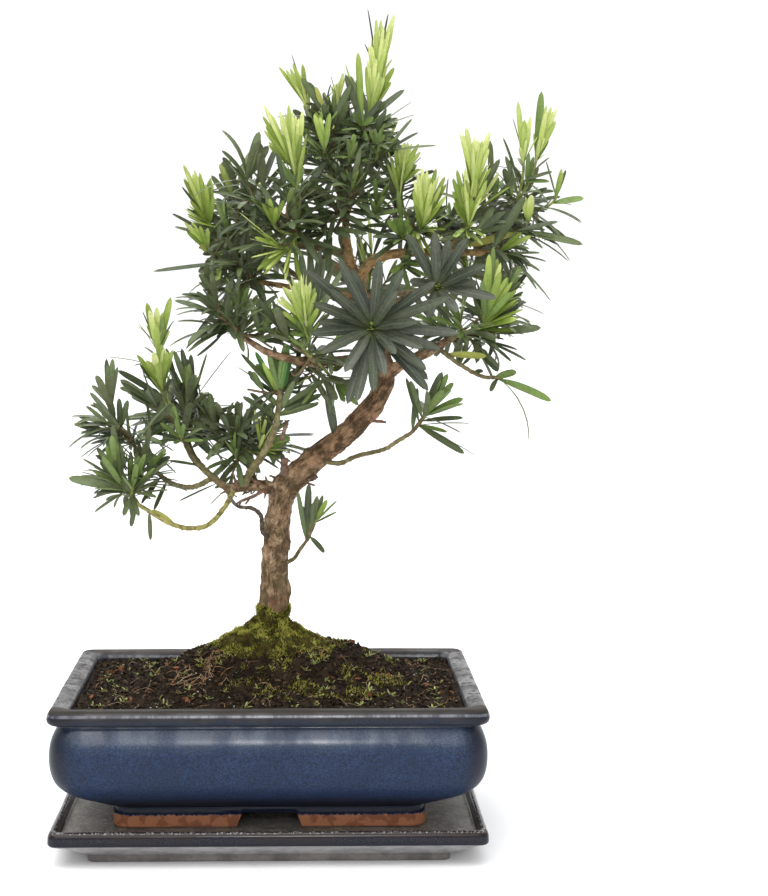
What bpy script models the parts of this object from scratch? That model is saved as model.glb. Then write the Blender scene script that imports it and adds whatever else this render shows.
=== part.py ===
"""A buddhist pine bonsai in a glazed pot that stands on its tray.

Metres, +Z up, the front towards -Y, the origin at the centre of the tray's flat underside.
"""

import math
import random
from collections import namedtuple

import bmesh
import bpy
from mathutils import Matrix, Quaternion, Vector
from mathutils.bvhtree import BVHTree
from mathutils.kdtree import KDTree

MM = 0.001
CLEAR = 0.3 * MM
WELD = 0.001 * MM
UP = Vector((0, 0, 1))
SEED = 26
GOLDEN_ANGLE = math.radians(137.5)

# The pot and its tray share one plan, a rectangle with round corners.
POT_LENGTH = 300 * MM
POT_WIDTH = 210 * MM
CORNER_STEPS = 3

# Each step of a profile is how far in from that plan, how high, and the corner radius, in mm.
TRAY_OUTSIDE = ((25, 0, 5), (25, 6, 5), (1, 13, 6), (0, 14.5, 6), (0, 24, 6), (1, 25, 6))
TRAY_INSIDE = ((5, 25, 5), (7, 17.7, 5))
POT_OUTSIDE = (
    (44, 28, 20), (30, 37, 20), (15, 48, 20), (6, 59, 18), (1, 71, 17), (0.5, 79, 17),
    (3, 90, 16), (6, 96.5, 15), (1.5, 98, 9), (0, 101, 8), (0, 106, 8), (2, 108.5, 7),
)
POT_INSIDE = ((13, 107.5, 8), (15, 103, 10), (15, 60, 16), (26, 46, 18), (46, 36, 16))

# The feet are a wall under the pot, open in the middle of each side.
FOOT_PLAN = (109 * MM, 65 * MM)
FOOT_WALL = 14 * MM
FOOT_BOTTOM = 18 * MM
FOOT_TOP = 29.5 * MM
FOOT_CORNER = 12 * MM
FOOT_OPENING_BOTTOM = 49 * MM
FOOT_OPENING_TOP = 38 * MM
FOOT_OPENING_HEIGHT = 28.3 * MM
# How far a cutter runs past what it cuts.
PAST = 5 * MM

# The soil's heap above the pot's wall and the moss on it: half length, half width, height in mm.
SOIL_HEAP = ((110, 76, 104.5), (84, 60, 109), (61, 48, 118), (40, 36, 128.5))
MOSS_MOUND = ((36, 33, 128.8), (37, 34, 131), (30, 28, 136), (22, 21, 140), (16, 15.5, 146))

# The trunk's line from the ground cut to its tip: x, y, z and radius in mm.
TRUNK = (
    (1, 0, 128.8, 20), (1, 0, 135, 16), (2, 0, 146, 13), (3, 0, 165, 11.8), (4, 0, 200, 10.6),
    (4, 0, 232, 9.6), (9, 0, 249, 9.8), (22, -2, 259, 9.3), (37, -4, 270, 8.8), (54, -6, 283, 8.4),
    (69, -8, 297, 8), (80, -8, 312, 7.6), (85, -8, 327, 7.2), (82, -6, 342, 6.6),
    (73, 0, 368, 5.2), (62, 4, 397, 4.2), (56, 6, 418, 3.6), (55, 6, 443, 3), (60, 8, 458, 2.5),
    (64, 8, 476, 2.2), (67, 8, 505, 1.7),
)

LINE_STEP = 12 * MM
# A limb whose line starts this near to its parent's end carries on from it, at first straight.
NEAR_END = 2 * MM
STRAIGHT_ON = 1.5 * MM

# Each bough's parent, its radius at both ends and the points of its line, in mm.
Limb = namedtuple("Limb", "parent thick thin line")
LIMBS = {
    "bough_low_left": Limb("trunk", 4.6, 3.4, ((6, 0, 247), (-10, -12, 251), (-29, -22, 249))),
    "low_left_rise": Limb(
        "bough_low_left", 2.8, 1.7,
        ((-19, -17, 250), (-14, -27, 261), (-3, -38, 278), (5, -45, 297), (8, -50, 319)),
    ),
    "low_left_out": Limb(
        "bough_low_left", 2.8, 1.7, ((-29, -22, 249), (-42, -20, 259), (-54, -15, 270), (-60, -10, 280))
    ),
    "low_left_loop": Limb(
        "bough_low_left", 1.9, 1.6,
        ((-25, -20, 249), (-30, -34, 240), (-39, -50, 230), (-47, -60, 227), (-58, -69, 228)),
    ),
    "low_left_loop_end": Limb(
        "low_left_loop", 1.6, 1.4, ((-58, -69, 228), (-69, -75, 233), (-80, -76, 240), (-92, -72, 247))
    ),
    "low_left_far": Limb(
        "low_left_out", 2, 1.4,
        ((-40, -20, 257), (-54, -32, 252), (-68, -42, 256), (-82, -46, 268), (-91, -46, 279)),
    ),
    "low_left_back": Limb("low_left_out", 1.9, 1.4, ((-48, -17, 265), (-56, 8, 272), (-62, 32, 284))),
    "low_left_inner": Limb(
        "bough_low_left", 2.1, 1.5, ((-9, -11, 251), (-15, 0, 262), (-22, 2, 274))
    ),
    "dead_twig": Limb(
        "trunk", 1.9, 1.1,
        ((2, -2, 211), (-5, -13, 217), (-6, -24, 230), (-12, -34, 237), (-22, -38, 239), (-28, -38, 246)),
    ),
    "right_low_sprig": Limb("trunk", 1.6, 1.2, ((6, -2, 190), (17, -7, 197), (21, -15, 204), (26, -24, 212))),
    "right_low_twig": Limb(
        "trunk", 1.8, 1.4,
        ((36, -4, 268), (50, -16, 267), (62, -25, 273), (80, -40, 279), (89, -45, 285), (98, -50, 291)),
    ),
    "bough_right_mid": Limb(
        "trunk", 4.6, 2.8, ((84, -8, 330), (96, -18, 339), (110, -32, 346), (126, -48, 357))
    ),
    "right_mid_out": Limb(
        "bough_right_mid", 1.7, 1.3, ((117, -39, 351), (131, -42, 340), (149, -36, 330), (163, -30, 329))
    ),
    "bough_left_mid": Limb(
        "trunk", 4.2, 2.2, ((80, -7, 338), (55, -34, 341), (27, -56, 341), (2, -58, 347), (-16, -53, 357))
    ),
    "left_front_twig": Limb("bough_left_mid", 2, 1.5, ((33, -52, 341), (31, -60, 342), (30, -66, 344))),
    "bough_right_high": Limb(
        "trunk", 4.2, 2.4,
        ((65, 3, 390), (68, -8, 405), (81, -17, 414), (100, -20, 416), (126, -16, 417), (158, -12, 416)),
    ),
    "right_high_up": Limb("bough_right_high", 2.1, 1.6, ((98, -20, 416), (101, -15, 423), (103, -11, 429))),
    "right_high_crook": Limb(
        "bough_right_high", 2, 1.5, ((124, -16, 417), (131, -18, 424), (136, -18, 432))
    ),
    "right_high_tip": Limb(
        "bough_right_high", 2.2, 1.6, ((146, -13, 417), (158, -2, 428), (170, 2, 443))
    ),
    "leader_left": Limb("trunk", 2.4, 1.7, ((55, 6, 444), (49, 4, 461), (46, 2, 475))),
    "bough_left_high": Limb(
        "trunk", 3.2, 1.9, ((60, 5, 402), (45, -8, 408), (34, -18, 414), (26, -24, 424))
    ),
    "bough_left_far": Limb(
        "trunk", 3, 1.8, ((57, 6, 416), (34, 14, 420), (6, 18, 424), (-20, 15, 431))
    ),
    "bough_left_side": Limb(
        "trunk", 3.2, 1.8, ((67, 2, 384), (40, 4, 388), (15, -2, 392), (-8, -10, 396))
    ),
    "bough_back": Limb("trunk", 3.6, 1.9, ((78, -4, 352), (80, 24, 360), (78, 52, 370), (74, 78, 385))),
    "bough_back_left": Limb("trunk", 3, 1.7, ((71, 1, 373), (48, 32, 384), (25, 54, 396), (4, 70, 412))),
    "bough_back_right": Limb("trunk", 3, 1.7, ((71, 1, 374), (94, 24, 382), (120, 42, 390), (144, 54, 401))),
}

# A mass's bough, the height at which its stem leaves the trunk where it has no bough, and its
# shoots: where each ends in mm, what it bears, and how large its leaves are.
Mass = namedtuple("Mass", "bough height shoots")
MASSES = {
    "foliage_apex": Mass("trunk", None, (
        (72, 8, 532, "young", 1.5), (56, -2, 520, "old", 0.8), (88, 14, 512, "old", 0.9),
        (78, -20, 508, "green", 0.9),
    )),
    "foliage_top_left": Mass("leader_left", None, (
        (27, 5, 520, "young", 0.8), (40, -8, 512, "old", 0.8), (47, 16, 520, "young", 0.7),
        (37, -24, 490, "green", 0.9),
    )),
    "foliage_top_back": Mass("trunk", 452, (
        (52, 56, 494, "young", 0.9), (36, 50, 482, "old", 0.9), (72, 58, 486, "old", 0.9),
    )),
    "foliage_top_mid": Mass("trunk", 440, (
        (56, -26, 478, "old", 0.9), (40, -22, 450, "old", 0.8), (76, -26, 446, "green", 0.9),
    )),
    "foliage_left_high": Mass("bough_left_high", None, (
        (19, -25, 473, "young", 1.1), (-4, -30, 462, "old", 1), (14, -48, 450, "old", 1),
        (-8, -38, 438, "old", 1), (6, -46, 420, "young", 0.9),
    )),
    "foliage_left_far": Mass("bough_left_far", None, (
        (-41, 10, 446, "young", 0.9), (-49, -2, 428, "green", 0.9), (-22, 14, 473, "old", 1),
        (-36, 22, 418, "old", 1), (-14, 36, 450, "old", 1),
    )),
    "foliage_left_side": Mass("bough_left_side", None, (
        (-38, -8, 401, "old", 1), (-22, -28, 406, "old", 1), (-32, -34, 384, "old", 1),
        (-10, 16, 402, "old", 0.9),
    )),
    "foliage_left_mid": Mass("bough_left_mid", None, (
        (-24, -55, 371, "old", 1), (-14, -44, 380, "green", 0.8), (-36, -70, 363, "old", 0.9),
        (-11, -72, 375, "old", 0.9),
    )),
    "foliage_left_front": Mass("left_front_twig", None, (
        (27, -68, 366, "young", 0.8), (12, -78, 354, "old", 0.9), (47, -76, 350, "old", 0.9),
        (38, -76, 332, "old", 0.8),
    )),
    "foliage_rosette": Mass("trunk", 364, ((70, -92, 365, "rosette", 1.1),)),
    "foliage_rosette_right": Mass("trunk", 382, ((112, -78, 390, "rosette", 0.9),)),
    "foliage_right_mid": Mass("bough_right_mid", None, (
        (152, -46, 366, "young", 1.3), (160, -38, 354, "old", 1), (134, -66, 368, "old", 0.8),
        (144, -28, 350, "old", 1),
    )),
    "foliage_right_out": Mass("right_mid_out", None, ((172, -28, 329, "sparse", 1),)),
    "foliage_right_high": Mass("right_high_up", None, (
        (107, -8, 432, "young", 1.3), (91, 12, 468, "young", 0.9), (90, 4, 450, "old", 0.9),
        (84, -28, 436, "green", 1),
    )),
    "foliage_right_crook": Mass("right_high_crook", None, (
        (141, -18, 440, "young", 1.5), (128, -2, 442, "old", 0.9), (152, -32, 440, "old", 0.9),
    )),
    "foliage_right_tip": Mass("right_high_tip", None, (
        (184, 0, 474, "young", 1.1), (195, 8, 484, "young", 1), (172, -6, 464, "old", 1),
        (202, -4, 452, "old", 0.9),
    )),
    "foliage_right_far": Mass("bough_right_high", None, (
        (188, -14, 428, "old", 1.1), (188, -22, 408, "old", 1.1), (182, 14, 414, "old", 1),
    )),
    "foliage_back": Mass("bough_back", None, (
        (62, 96, 404, "old", 1), (88, 96, 396, "old", 1), (76, 86, 414, "young", 1),
        (72, 104, 380, "old", 1),
    )),
    "foliage_back_left": Mass("bough_back_left", None, (
        (-16, 80, 430, "old", 1), (6, 90, 426, "old", 1), (-4, 70, 440, "young", 1),
        (-26, 66, 412, "old", 1),
    )),
    "foliage_back_right": Mass("bough_back_right", None, (
        (164, 66, 416, "old", 1), (150, 78, 404, "old", 1), (142, 54, 424, "young", 1),
        (172, 52, 398, "green", 1),
    )),
    "foliage_low_rise": Mass("low_left_rise", None, (
        (9, -51, 330, "green", 1.1), (19, -44, 326, "green", 0.8), (-2, -58, 326, "old", 0.8),
    )),
    "foliage_low_inner": Mass("low_left_inner", None, (
        (-24, 8, 290, "old", 1), (-36, -2, 288, "old", 0.9), (-10, 12, 286, "old", 0.8),
        (-20, -12, 284, "young", 0.7),
    )),
    "foliage_low_mid": Mass("low_left_out", None, (
        (-77, 4, 308, "young", 1.1), (-80, 12, 334, "young", 1.1), (-57, 0, 310, "old", 1),
        (-88, -16, 298, "old", 1), (-48, 10, 288, "old", 0.9),
    )),
    "foliage_low_end": Mass("low_left_loop_end", None, (
        (-102, -76, 262, "green", 1.1), (-100, -66, 252, "old", 1), (-88, -64, 264, "old", 0.9),
    )),
    "foliage_low_far": Mass("low_left_far", None, (
        (-110, -40, 308, "old", 1), (-100, -52, 290, "old", 1), (-112, -46, 286, "old", 0.9),
    )),
    "foliage_low_back": Mass("low_left_back", None, (
        (-76, 46, 298, "old", 1), (-52, 52, 296, "old", 1), (-64, 40, 310, "young", 1),
    )),
    "foliage_low_sprig": Mass("right_low_sprig", None, ((30, -28, 222, "green", 0.9),)),
    "foliage_low_twig": Mass("right_low_twig", None, ((108, -52, 303, "green", 1.1),)),
}

# A whorl: how many leaves, how far below the shoot's end it starts and stops, the leaf's length
# and width in mm, and how far the first and last leaf lean away from the shoot, in degrees.
Whorl = namedtuple("Whorl", "count start stop length width low high")
HABITS = {
    "old": (Whorl(5, 20, 0, 48, 12, 82, 40),),
    "young": (Whorl(2, 28, 22, 44, 11, 76, 62), Whorl(3, 14, 0, 36, 9.5, 26, 8)),
    "green": (Whorl(5, 12, 0, 38, 11.5, 66, 18),),
    "rosette": (Whorl(12, 7, 0, 50, 12.5, 98, 76),),
    "sparse": (Whorl(5, 20, 0, 44, 8, 104, 50),),
}
# How far a leaf's turn and lean, in degrees, and its length may differ from its whorl's.
TURN_SPREAD = 8.5
LEAN_SPREAD = 6
LENGTH_SPREAD = (0.85, 1.1)
# How much a shoot's end turns up, by what it bears.
LIFT = {"old": 0.5, "young": 1.6, "green": 0.9, "rosette": 0.05, "sparse": 0.1}
# A stem reaches this share of the way to its shoots' middle, or further with one shoot only.
STEM_REACH = 0.45
LONE_STEM_REACH = 0.8
STEM_THICK = 1.9 * MM
STEM_STRAIGHT = 3 * MM
STEM_PIECES = 3
# The shares of the stem between which its twigs leave it.
TWIG_ROOTS = (0.45, 0.95)
TWIG_THICK = 1.5 * MM
TWIG_THIN = 0.85 * MM
TWIG_SINK = 0.3 * MM
TWIG_BEND = 0.45
TWIG_PIECES = 2
LEAF_THICK = 1.1 * MM
LEAF_WIDEST = 0.6
LEAF_ARCH = 0.04
LEAF_FOOT = 0.25
# How far from a twig's end its last leaf keeps, so that its root is sunk well in.
TWIG_END = 1.2 * MM
DROOP = 0.1
# A leaf that would leave its mass's space is drawn in to these shares of its lean and length.
DRAWN_IN = ((1, 1), (0.75, 1), (0.5, 0.95), (0.8, 0.7), (0.45, 0.7))
SPACE_MARGIN = 1.2 * MM
LIMB_MARGIN = 1.0 * MM
SPACE_STEP = 1.5 * MM

COLOURS = {
    "glaze": ((0.022, 0.05, 0.1), 0.14),
    "soil": ((0.028, 0.018, 0.012), 0.95),
    "moss": ((0.1, 0.16, 0.02), 0.95),
    "bark": ((0.21, 0.13, 0.075), 0.85),
    "leaf": ((0.035, 0.075, 0.035), 0.45),
}


def clear_scene():
    for obj in list(bpy.data.objects):
        bpy.data.objects.remove(obj, do_unlink=True)


def new_collection(name, parent):
    found = bpy.data.collections.new(name)
    parent.children.link(found)
    return found


def material(name):
    colour, roughness = COLOURS[name]
    made = bpy.data.materials.new(name)
    made.use_nodes = True
    shader = made.node_tree.nodes["Principled BSDF"]
    shader.inputs["Base Color"].default_value = (*colour, 1)
    shader.inputs["Roughness"].default_value = roughness
    return made


def mesh_object(name, bm, collection, finish=None):
    """A new object of this mesh, facing out, and smooth except across sharp edges."""
    mesh = bpy.data.meshes.new(name)
    bmesh.ops.recalc_face_normals(bm, faces=bm.faces)
    if bm.calc_volume(signed=True) < 0:
        bmesh.ops.reverse_faces(bm, faces=bm.faces)
    bm.to_mesh(mesh)
    bm.free()
    mesh.shade_smooth()
    mesh.set_sharp_from_angle(angle=math.radians(35))
    obj = bpy.data.objects.new(name, mesh)
    collection.objects.link(obj)
    if finish:
        mesh.materials.append(finish)
    return obj


def as_mesh(obj, collection, finish=None):
    """The object with its modifiers applied, or a curve with its caps welded, as a new mesh."""
    bpy.context.view_layer.update()
    graph = bpy.context.evaluated_depsgraph_get()
    mesh = bpy.data.meshes.new_from_object(obj.evaluated_get(graph))
    mesh.transform(obj.matrix_world)
    bm = bmesh.new()
    bm.from_mesh(mesh)
    if obj.type == "CURVE":
        bmesh.ops.remove_doubles(bm, verts=bm.verts, dist=WELD)
    bpy.data.meshes.remove(mesh)
    name = obj.name
    bpy.data.objects.remove(obj, do_unlink=True)
    return mesh_object(name, bm, collection, finish)


def boolean(obj, operation, other):
    """Cuts the object with another, or joins it to one."""
    modifier = obj.modifiers.new(operation.lower(), "BOOLEAN")
    modifier.operation = operation
    modifier.object = other


def is_closed(obj):
    """Whether each edge of the object, with its modifiers, has exactly two faces."""
    bpy.context.view_layer.update()
    mesh = bpy.data.meshes.new_from_object(obj.evaluated_get(bpy.context.evaluated_depsgraph_get()))
    bm = bmesh.new()
    bm.from_mesh(mesh)
    closed = all(edge.is_manifold for edge in bm.edges)
    bm.free()
    bpy.data.meshes.remove(mesh)
    return closed


def join_all(obj, pieces):
    """Joins the object to all of a collection's objects, by another solver where the first fails."""
    modifier = obj.modifiers.new("union", "BOOLEAN")
    modifier.operation = "UNION"
    modifier.operand_type = "COLLECTION"
    modifier.collection = pieces
    if not is_closed(obj):
        modifier.solver = "MANIFOLD"


def plan_ring(half_length, half_width, corner, height):
    """A rectangle with round corners, as points anticlockwise from the +X side."""
    ring = []
    for quarter, (sx, sy) in enumerate(((1, 1), (-1, 1), (-1, -1), (1, -1))):
        for step in range(CORNER_STEPS + 1):
            angle = math.radians(90 * (quarter + step / CORNER_STEPS))
            x = sx * (half_length - corner) + corner * math.cos(angle)
            y = sy * (half_width - corner) + corner * math.sin(angle)
            ring.append(Vector((x, y, height)))
    return ring


def oval_ring(half_length, half_width, height):
    """An oval with as many points as a plan ring, each towards the corner that it joins."""
    count = 4 * (CORNER_STEPS + 1)
    angles = [2 * math.pi * (step + 0.5) / count for step in range(count)]
    return [Vector((half_length * math.cos(a), half_width * math.sin(a), height)) for a in angles]


def loft(name, rings, collection, finish=None):
    """A closed solid through rings of equal counts, with its first and last ring filled."""
    bm = bmesh.new()
    levels = [[bm.verts.new(point) for point in ring] for ring in rings]
    for lower, upper in zip(levels, levels[1:]):
        for i in range(len(lower)):
            j = (i + 1) % len(lower)
            bm.faces.new((lower[i], lower[j], upper[j], upper[i]))
    bm.faces.new(levels[0][::-1])
    bm.faces.new(levels[-1])
    return mesh_object(name, bm, collection, finish)


def profile_rings(profile, extra_inset=0.0):
    """The rings of a pot or tray profile, drawn further in where that is asked."""
    rings = []
    for inset, height, corner in profile:
        inward = inset * MM + extra_inset
        half_length = POT_LENGTH / 2 - inward
        half_width = POT_WIDTH / 2 - inward
        rings.append(plan_ring(half_length, half_width, corner * MM, height * MM))
    return rings


def oval_rings(profile):
    return [oval_ring(length * MM, width * MM, height * MM) for length, width, height in profile]


def make_tray(collection, finish):
    loft("tray", profile_rings(TRAY_OUTSIDE + TRAY_INSIDE), collection, finish)


def foot_wall(cutters):
    """The wall that the feet are cut from, as a frame round an open middle."""
    half_length, half_width = FOOT_PLAN
    inner_length = half_length - FOOT_WALL
    inner_width = half_width - FOOT_WALL
    wall = loft("feet", [
        plan_ring(half_length, half_width, FOOT_CORNER, FOOT_BOTTOM),
        plan_ring(half_length, half_width, FOOT_CORNER, FOOT_TOP),
    ], cutters)
    middle = loft("foot_middle", [
        plan_ring(inner_length, inner_width, FOOT_CORNER / 2, FOOT_BOTTOM - PAST),
        plan_ring(inner_length, inner_width, FOOT_CORNER / 2, FOOT_TOP + PAST),
    ], cutters)
    boolean(wall, "DIFFERENCE", middle)
    return wall


def foot_opening(name, turn, cutters):
    """A wedge that opens the wall in the middle of two opposite sides."""
    bm = bmesh.new()
    bmesh.ops.create_cube(bm, size=1)
    for vert in bm.verts:
        top = vert.co.z > 0
        width = FOOT_OPENING_TOP if top else FOOT_OPENING_BOTTOM
        vert.co.x *= width
        vert.co.y *= POT_LENGTH
        vert.co.z = FOOT_OPENING_HEIGHT if top else FOOT_BOTTOM - PAST
    bmesh.ops.rotate(bm, verts=bm.verts, matrix=Matrix.Rotation(turn, 3, "Z"))
    return mesh_object(name, bm, cutters)


def make_pot(collection, cutters, finish):
    wall = foot_wall(cutters)
    for name, turn in (("opening_front", 0), ("opening_side", math.pi / 2)):
        boolean(wall, "DIFFERENCE", foot_opening(name, turn, cutters))
    feet = as_mesh(wall, cutters)
    pot = loft("pot", profile_rings(POT_OUTSIDE + POT_INSIDE), collection)
    boolean(pot, "UNION", feet)
    as_mesh(pot, collection, finish)


def make_soil(collection, finish):
    rings = profile_rings(POT_INSIDE[:0:-1], CLEAR)
    for point in rings[0]:
        point.z += CLEAR
    loft("soil", rings + oval_rings(SOIL_HEAP), collection, finish)


def make_moss(trunk_line, collection, cutters, finish):
    moss = loft("moss", oval_rings(MOSS_MOUND), collection)
    below = trunk_line[0].copy()
    below.z -= PAST
    hole = tube("moss_hole", grown([below] + trunk_line[:6]), 4, cutters)
    boolean(moss, "DIFFERENCE", hole)
    as_mesh(moss, collection, finish)


def smooth_line(points, step):
    """Points with radius along a Catmull-Rom curve through the given ones, in metres."""
    given = [Vector(point) * MM for point in points]
    given = [2 * given[0] - given[1]] + given + [2 * given[-1] - given[-2]]
    line = []
    for a, b, c, d in zip(given, given[1:], given[2:], given[3:]):
        pieces = max(1, round((c.xyz - b.xyz).length / step))
        for piece in range(pieces):
            t = piece / pieces
            first = 2 * b + (c - a) * t
            second = (2 * a - 5 * b + 4 * c - d) * t * t
            line.append(0.5 * (first + second + (3 * b - a - 3 * c + d) * t**3))
    return line + [given[-2]]


def grown(line):
    return [Vector((*point.xyz, point.w + CLEAR)) for point in line]


def tube(name, line, roundness, collection, section=None):
    """A tapering round limb, or one with the given section, as a closed mesh."""
    curve = bpy.data.curves.new(name, "CURVE")
    curve.dimensions = "3D"
    curve.use_fill_caps = True
    curve.bevel_resolution = roundness
    if section:
        curve.bevel_mode = "OBJECT"
        curve.bevel_object = section
    else:
        curve.bevel_depth = 1
    spline = curve.splines.new("POLY")
    spline.points.add(len(line) - 1)
    for point, place in zip(spline.points, line):
        point.co = (*place.xyz, 1)
        point.radius = place.w
    obj = bpy.data.objects.new(name, curve)
    collection.objects.link(obj)
    return as_mesh(obj, collection)


def end_direction(line):
    return (line[-1].xyz - line[-2].xyz).normalized()


def carried_on(parent_line, line):
    """The line started just clear of its parent's end, square to it."""
    direction = end_direction(parent_line)
    radius = line[0].w
    start = parent_line[-1].xyz + direction * CLEAR
    straight = [Vector((*start, radius)), Vector((*(start + direction * STRAIGHT_ON), radius))]
    return straight + line[1:]


def limb_line(limb, lines):
    """The limb's smooth line, and whether it carries on from its parent's end."""
    count = len(limb.line) - 1
    points = []
    for i, place in enumerate(limb.line):
        points.append((*place, limb.thick + (limb.thin - limb.thick) * i / count))
    line = smooth_line(points, LINE_STEP)
    parent = lines[limb.parent]
    if (line[0].xyz - parent[-1].xyz).length > NEAR_END:
        return line, False
    return carried_on(parent, line), True


def make_limbs(lines, collection, cutters, finish):
    for name, limb in LIMBS.items():
        line, carries_on = limb_line(limb, lines)
        lines[name] = line
        obj = tube(name, line, 1, collection)
        if not carries_on:
            cutter = tube(name + "_seat", grown(lines[limb.parent]), 4, cutters)
            boolean(obj, "DIFFERENCE", cutter)
            obj = as_mesh(obj, collection)
        obj.data.materials.append(finish)


def bent(start, bend, end, thick, thin, count):
    """Points along a curve that leaves start towards the bend and arrives from it."""
    line = []
    for i in range(count + 1):
        t = i / count
        place = start * (1 - t) ** 2 + bend * 2 * t * (1 - t) + end * t * t
        line.append(Vector((*place, thick + (thin - thick) * t)))
    return line


def trunk_point(line, height):
    return min(line, key=lambda point: abs(point.z - height * MM))


def stem_line(mass, lines):
    """The stem that carries a mass's twigs, from its bough's end or from inside the trunk."""
    parent = lines[mass.bough]
    ends = [Vector(shoot[:3]) * MM for shoot in mass.shoots]
    middle = sum(ends, Vector()) / len(ends)
    if mass.height is None:
        start = parent[-1].xyz
        thick = parent[-1].w
        straight = start + end_direction(parent) * STEM_STRAIGHT
    else:
        start = trunk_point(parent, mass.height).xyz
        thick = STEM_THICK
        straight = start.lerp(middle, 0.25)
    reach = LONE_STEM_REACH if len(ends) == 1 else STEM_REACH
    tip = start.lerp(middle, reach)
    line = bent(start, straight, tip, thick, TWIG_THICK, STEM_PIECES)
    return carried_on(parent, line) if mass.height is None else line


def twig_lines(mass, stem, rng):
    """Each shoot's twig, which leaves the stem at a seeded place and turns up at its end."""
    twigs = []
    for x, y, z, bears, size in mass.shoots:
        end = Vector((x, y, z)) * MM
        spread = rng.uniform(*TWIG_ROOTS) if len(mass.shoots) > 1 else 1
        place = spread * (len(stem) - 1)
        low = min(int(place), len(stem) - 2)
        root = stem[low].lerp(stem[low + 1], place - low)
        away = (end - root.xyz).normalized()
        direction = (away + UP * LIFT[bears]).normalized()
        bend = end - direction * (end - root.xyz).length * TWIG_BEND
        # The twig starts at the far side of the stem's middle, so that it is sunk well in.
        start = root.xyz - away * TWIG_SINK
        thick = min(root.w, TWIG_THICK) * 0.9
        twigs.append(bent(start, bend, end, thick, TWIG_THIN, TWIG_PIECES))
    return twigs


def along(line, back):
    """The place this far back from a line's end, and the line's direction there."""
    for later, earlier in zip(line[::-1], line[-2::-1]):
        step = later.xyz - earlier.xyz
        if back <= step.length:
            return later.xyz - step.normalized() * back, step.normalized()
        back -= step.length
    return line[0].xyz.copy(), (line[1].xyz - line[0].xyz).normalized()


Leaf = namedtuple("Leaf", "root direction face length width")


def leaf_along(line, back, turn, lean, length, width):
    """A leaf that leaves the line this far from its end, turned round it and leaning away."""
    root, axis = along(line, back)
    side = axis.orthogonal().normalized()
    side.rotate(Quaternion(axis, turn))
    direction = axis * math.cos(lean) + side * math.sin(lean)
    direction.z -= DROOP * math.sin(lean)
    direction.normalize()
    face = (axis - direction * axis.dot(direction)).normalized()
    return Leaf(root, direction, face, length, width)


def leaf_corners(leaf):
    """The root, the two edges at the widest place, the tip, and the middle's two faces."""
    across = leaf.direction.cross(leaf.face)
    middle = leaf.root + (leaf.direction * LEAF_WIDEST + leaf.face * LEAF_ARCH) * leaf.length
    tip = leaf.root + leaf.direction * leaf.length
    half = across * leaf.width / 2
    thick = leaf.face * LEAF_THICK / 2
    return leaf.root, middle + half, middle - half, tip, middle + thick, middle - thick


def leaf_samples(leaf):
    """Points along the leaf's middle and both of its edges, away from its root."""
    root, left, right, tip, top, _ = leaf_corners(leaf)
    points = []
    for a, b in ((root, left), (left, tip), (root, right), (right, tip), (root, top), (top, tip)):
        points += [a.lerp(b, share) for share in (0.3, 0.55, 0.8, 1.0)]
    return points


def blade_tree(leaf):
    """The leaf's blade past its foot, for finding the leaves that it would cross."""
    root, left, right, tip, top, under = leaf_corners(leaf)
    middle = (top + under) / 2
    foot = root.lerp(middle, LEAF_FOOT)
    sides = [(0, 1, 4), (1, 2, 4), (2, 3, 4), (3, 0, 4)]
    return BVHTree.FromPolygons([foot, left, tip, right, middle], sides)


# Which corner of a leaf each point of that sphere becomes.
LEAF_PLACES = {(0, 0, -1): 0, (1, 0, 0): 1, (-1, 0, 0): 2, (0, 0, 1): 3, (0, 1, 0): 4, (0, -1, 0): 5}


def make_leaf(name, leaf, collection):
    """A blade of eight faces, shaped from a sphere of four sides and two rows."""
    corners = leaf_corners(leaf)
    bm = bmesh.new()
    bmesh.ops.create_uvsphere(bm, u_segments=4, v_segments=2, radius=1)
    for vert in bm.verts:
        x, y, z = (round(value) for value in vert.co)
        vert.co = corners[LEAF_PLACES[x, y, z]]
    return mesh_object(name, bm, collection)


class Space:
    """What each mass may fill: the places nearer to its own twigs than to another's."""

    def __init__(self, skeletons, limb_lines):
        self.trees = {}
        for name in skeletons:
            self.trees[name] = (
                self.tree(skeletons[name]),
                self.tree([line for other in skeletons if other != name for line in skeletons[other]]),
            )
        self.limbs = [point for line in limb_lines for point in self.filled(line)]
        self.limb_tree = KDTree(len(self.limbs))
        for i, point in enumerate(self.limbs):
            self.limb_tree.insert(point.xyz, i)
        self.limb_tree.balance()
        self.thickest = max(point.w for point in self.limbs)

    @staticmethod
    def filled(line):
        """The line's points and more between them, closely spaced."""
        points = []
        for a, b in zip(line, line[1:]):
            count = max(1, math.ceil((b.xyz - a.xyz).length / SPACE_STEP))
            points += [a.lerp(b, i / count) for i in range(count + 1)]
        return points

    def tree(self, lines):
        points = [point.xyz for line in lines for point in self.filled(line)]
        made = KDTree(len(points))
        for i, point in enumerate(points):
            made.insert(point, i)
        made.balance()
        return made

    def holds(self, name, points):
        own, others = self.trees[name]
        for point in points:
            if others.find(point)[2] - own.find(point)[2] < SPACE_MARGIN:
                return False
            for _, index, distance in self.limb_tree.find_range(point, self.thickest + LIMB_MARGIN):
                if distance < self.limbs[index].w + LIMB_MARGIN:
                    return False
        return True


def first_that_fits(choices, name, space, blades):
    """The first of these leaves that crosses no other and keeps to its mass's space, if any."""
    for leaf in choices:
        blade = blade_tree(leaf)
        crosses = any(blade.overlap(other) for other in blades)
        if not crosses and space.holds(name, leaf_samples(leaf)):
            return leaf
    return None


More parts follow.
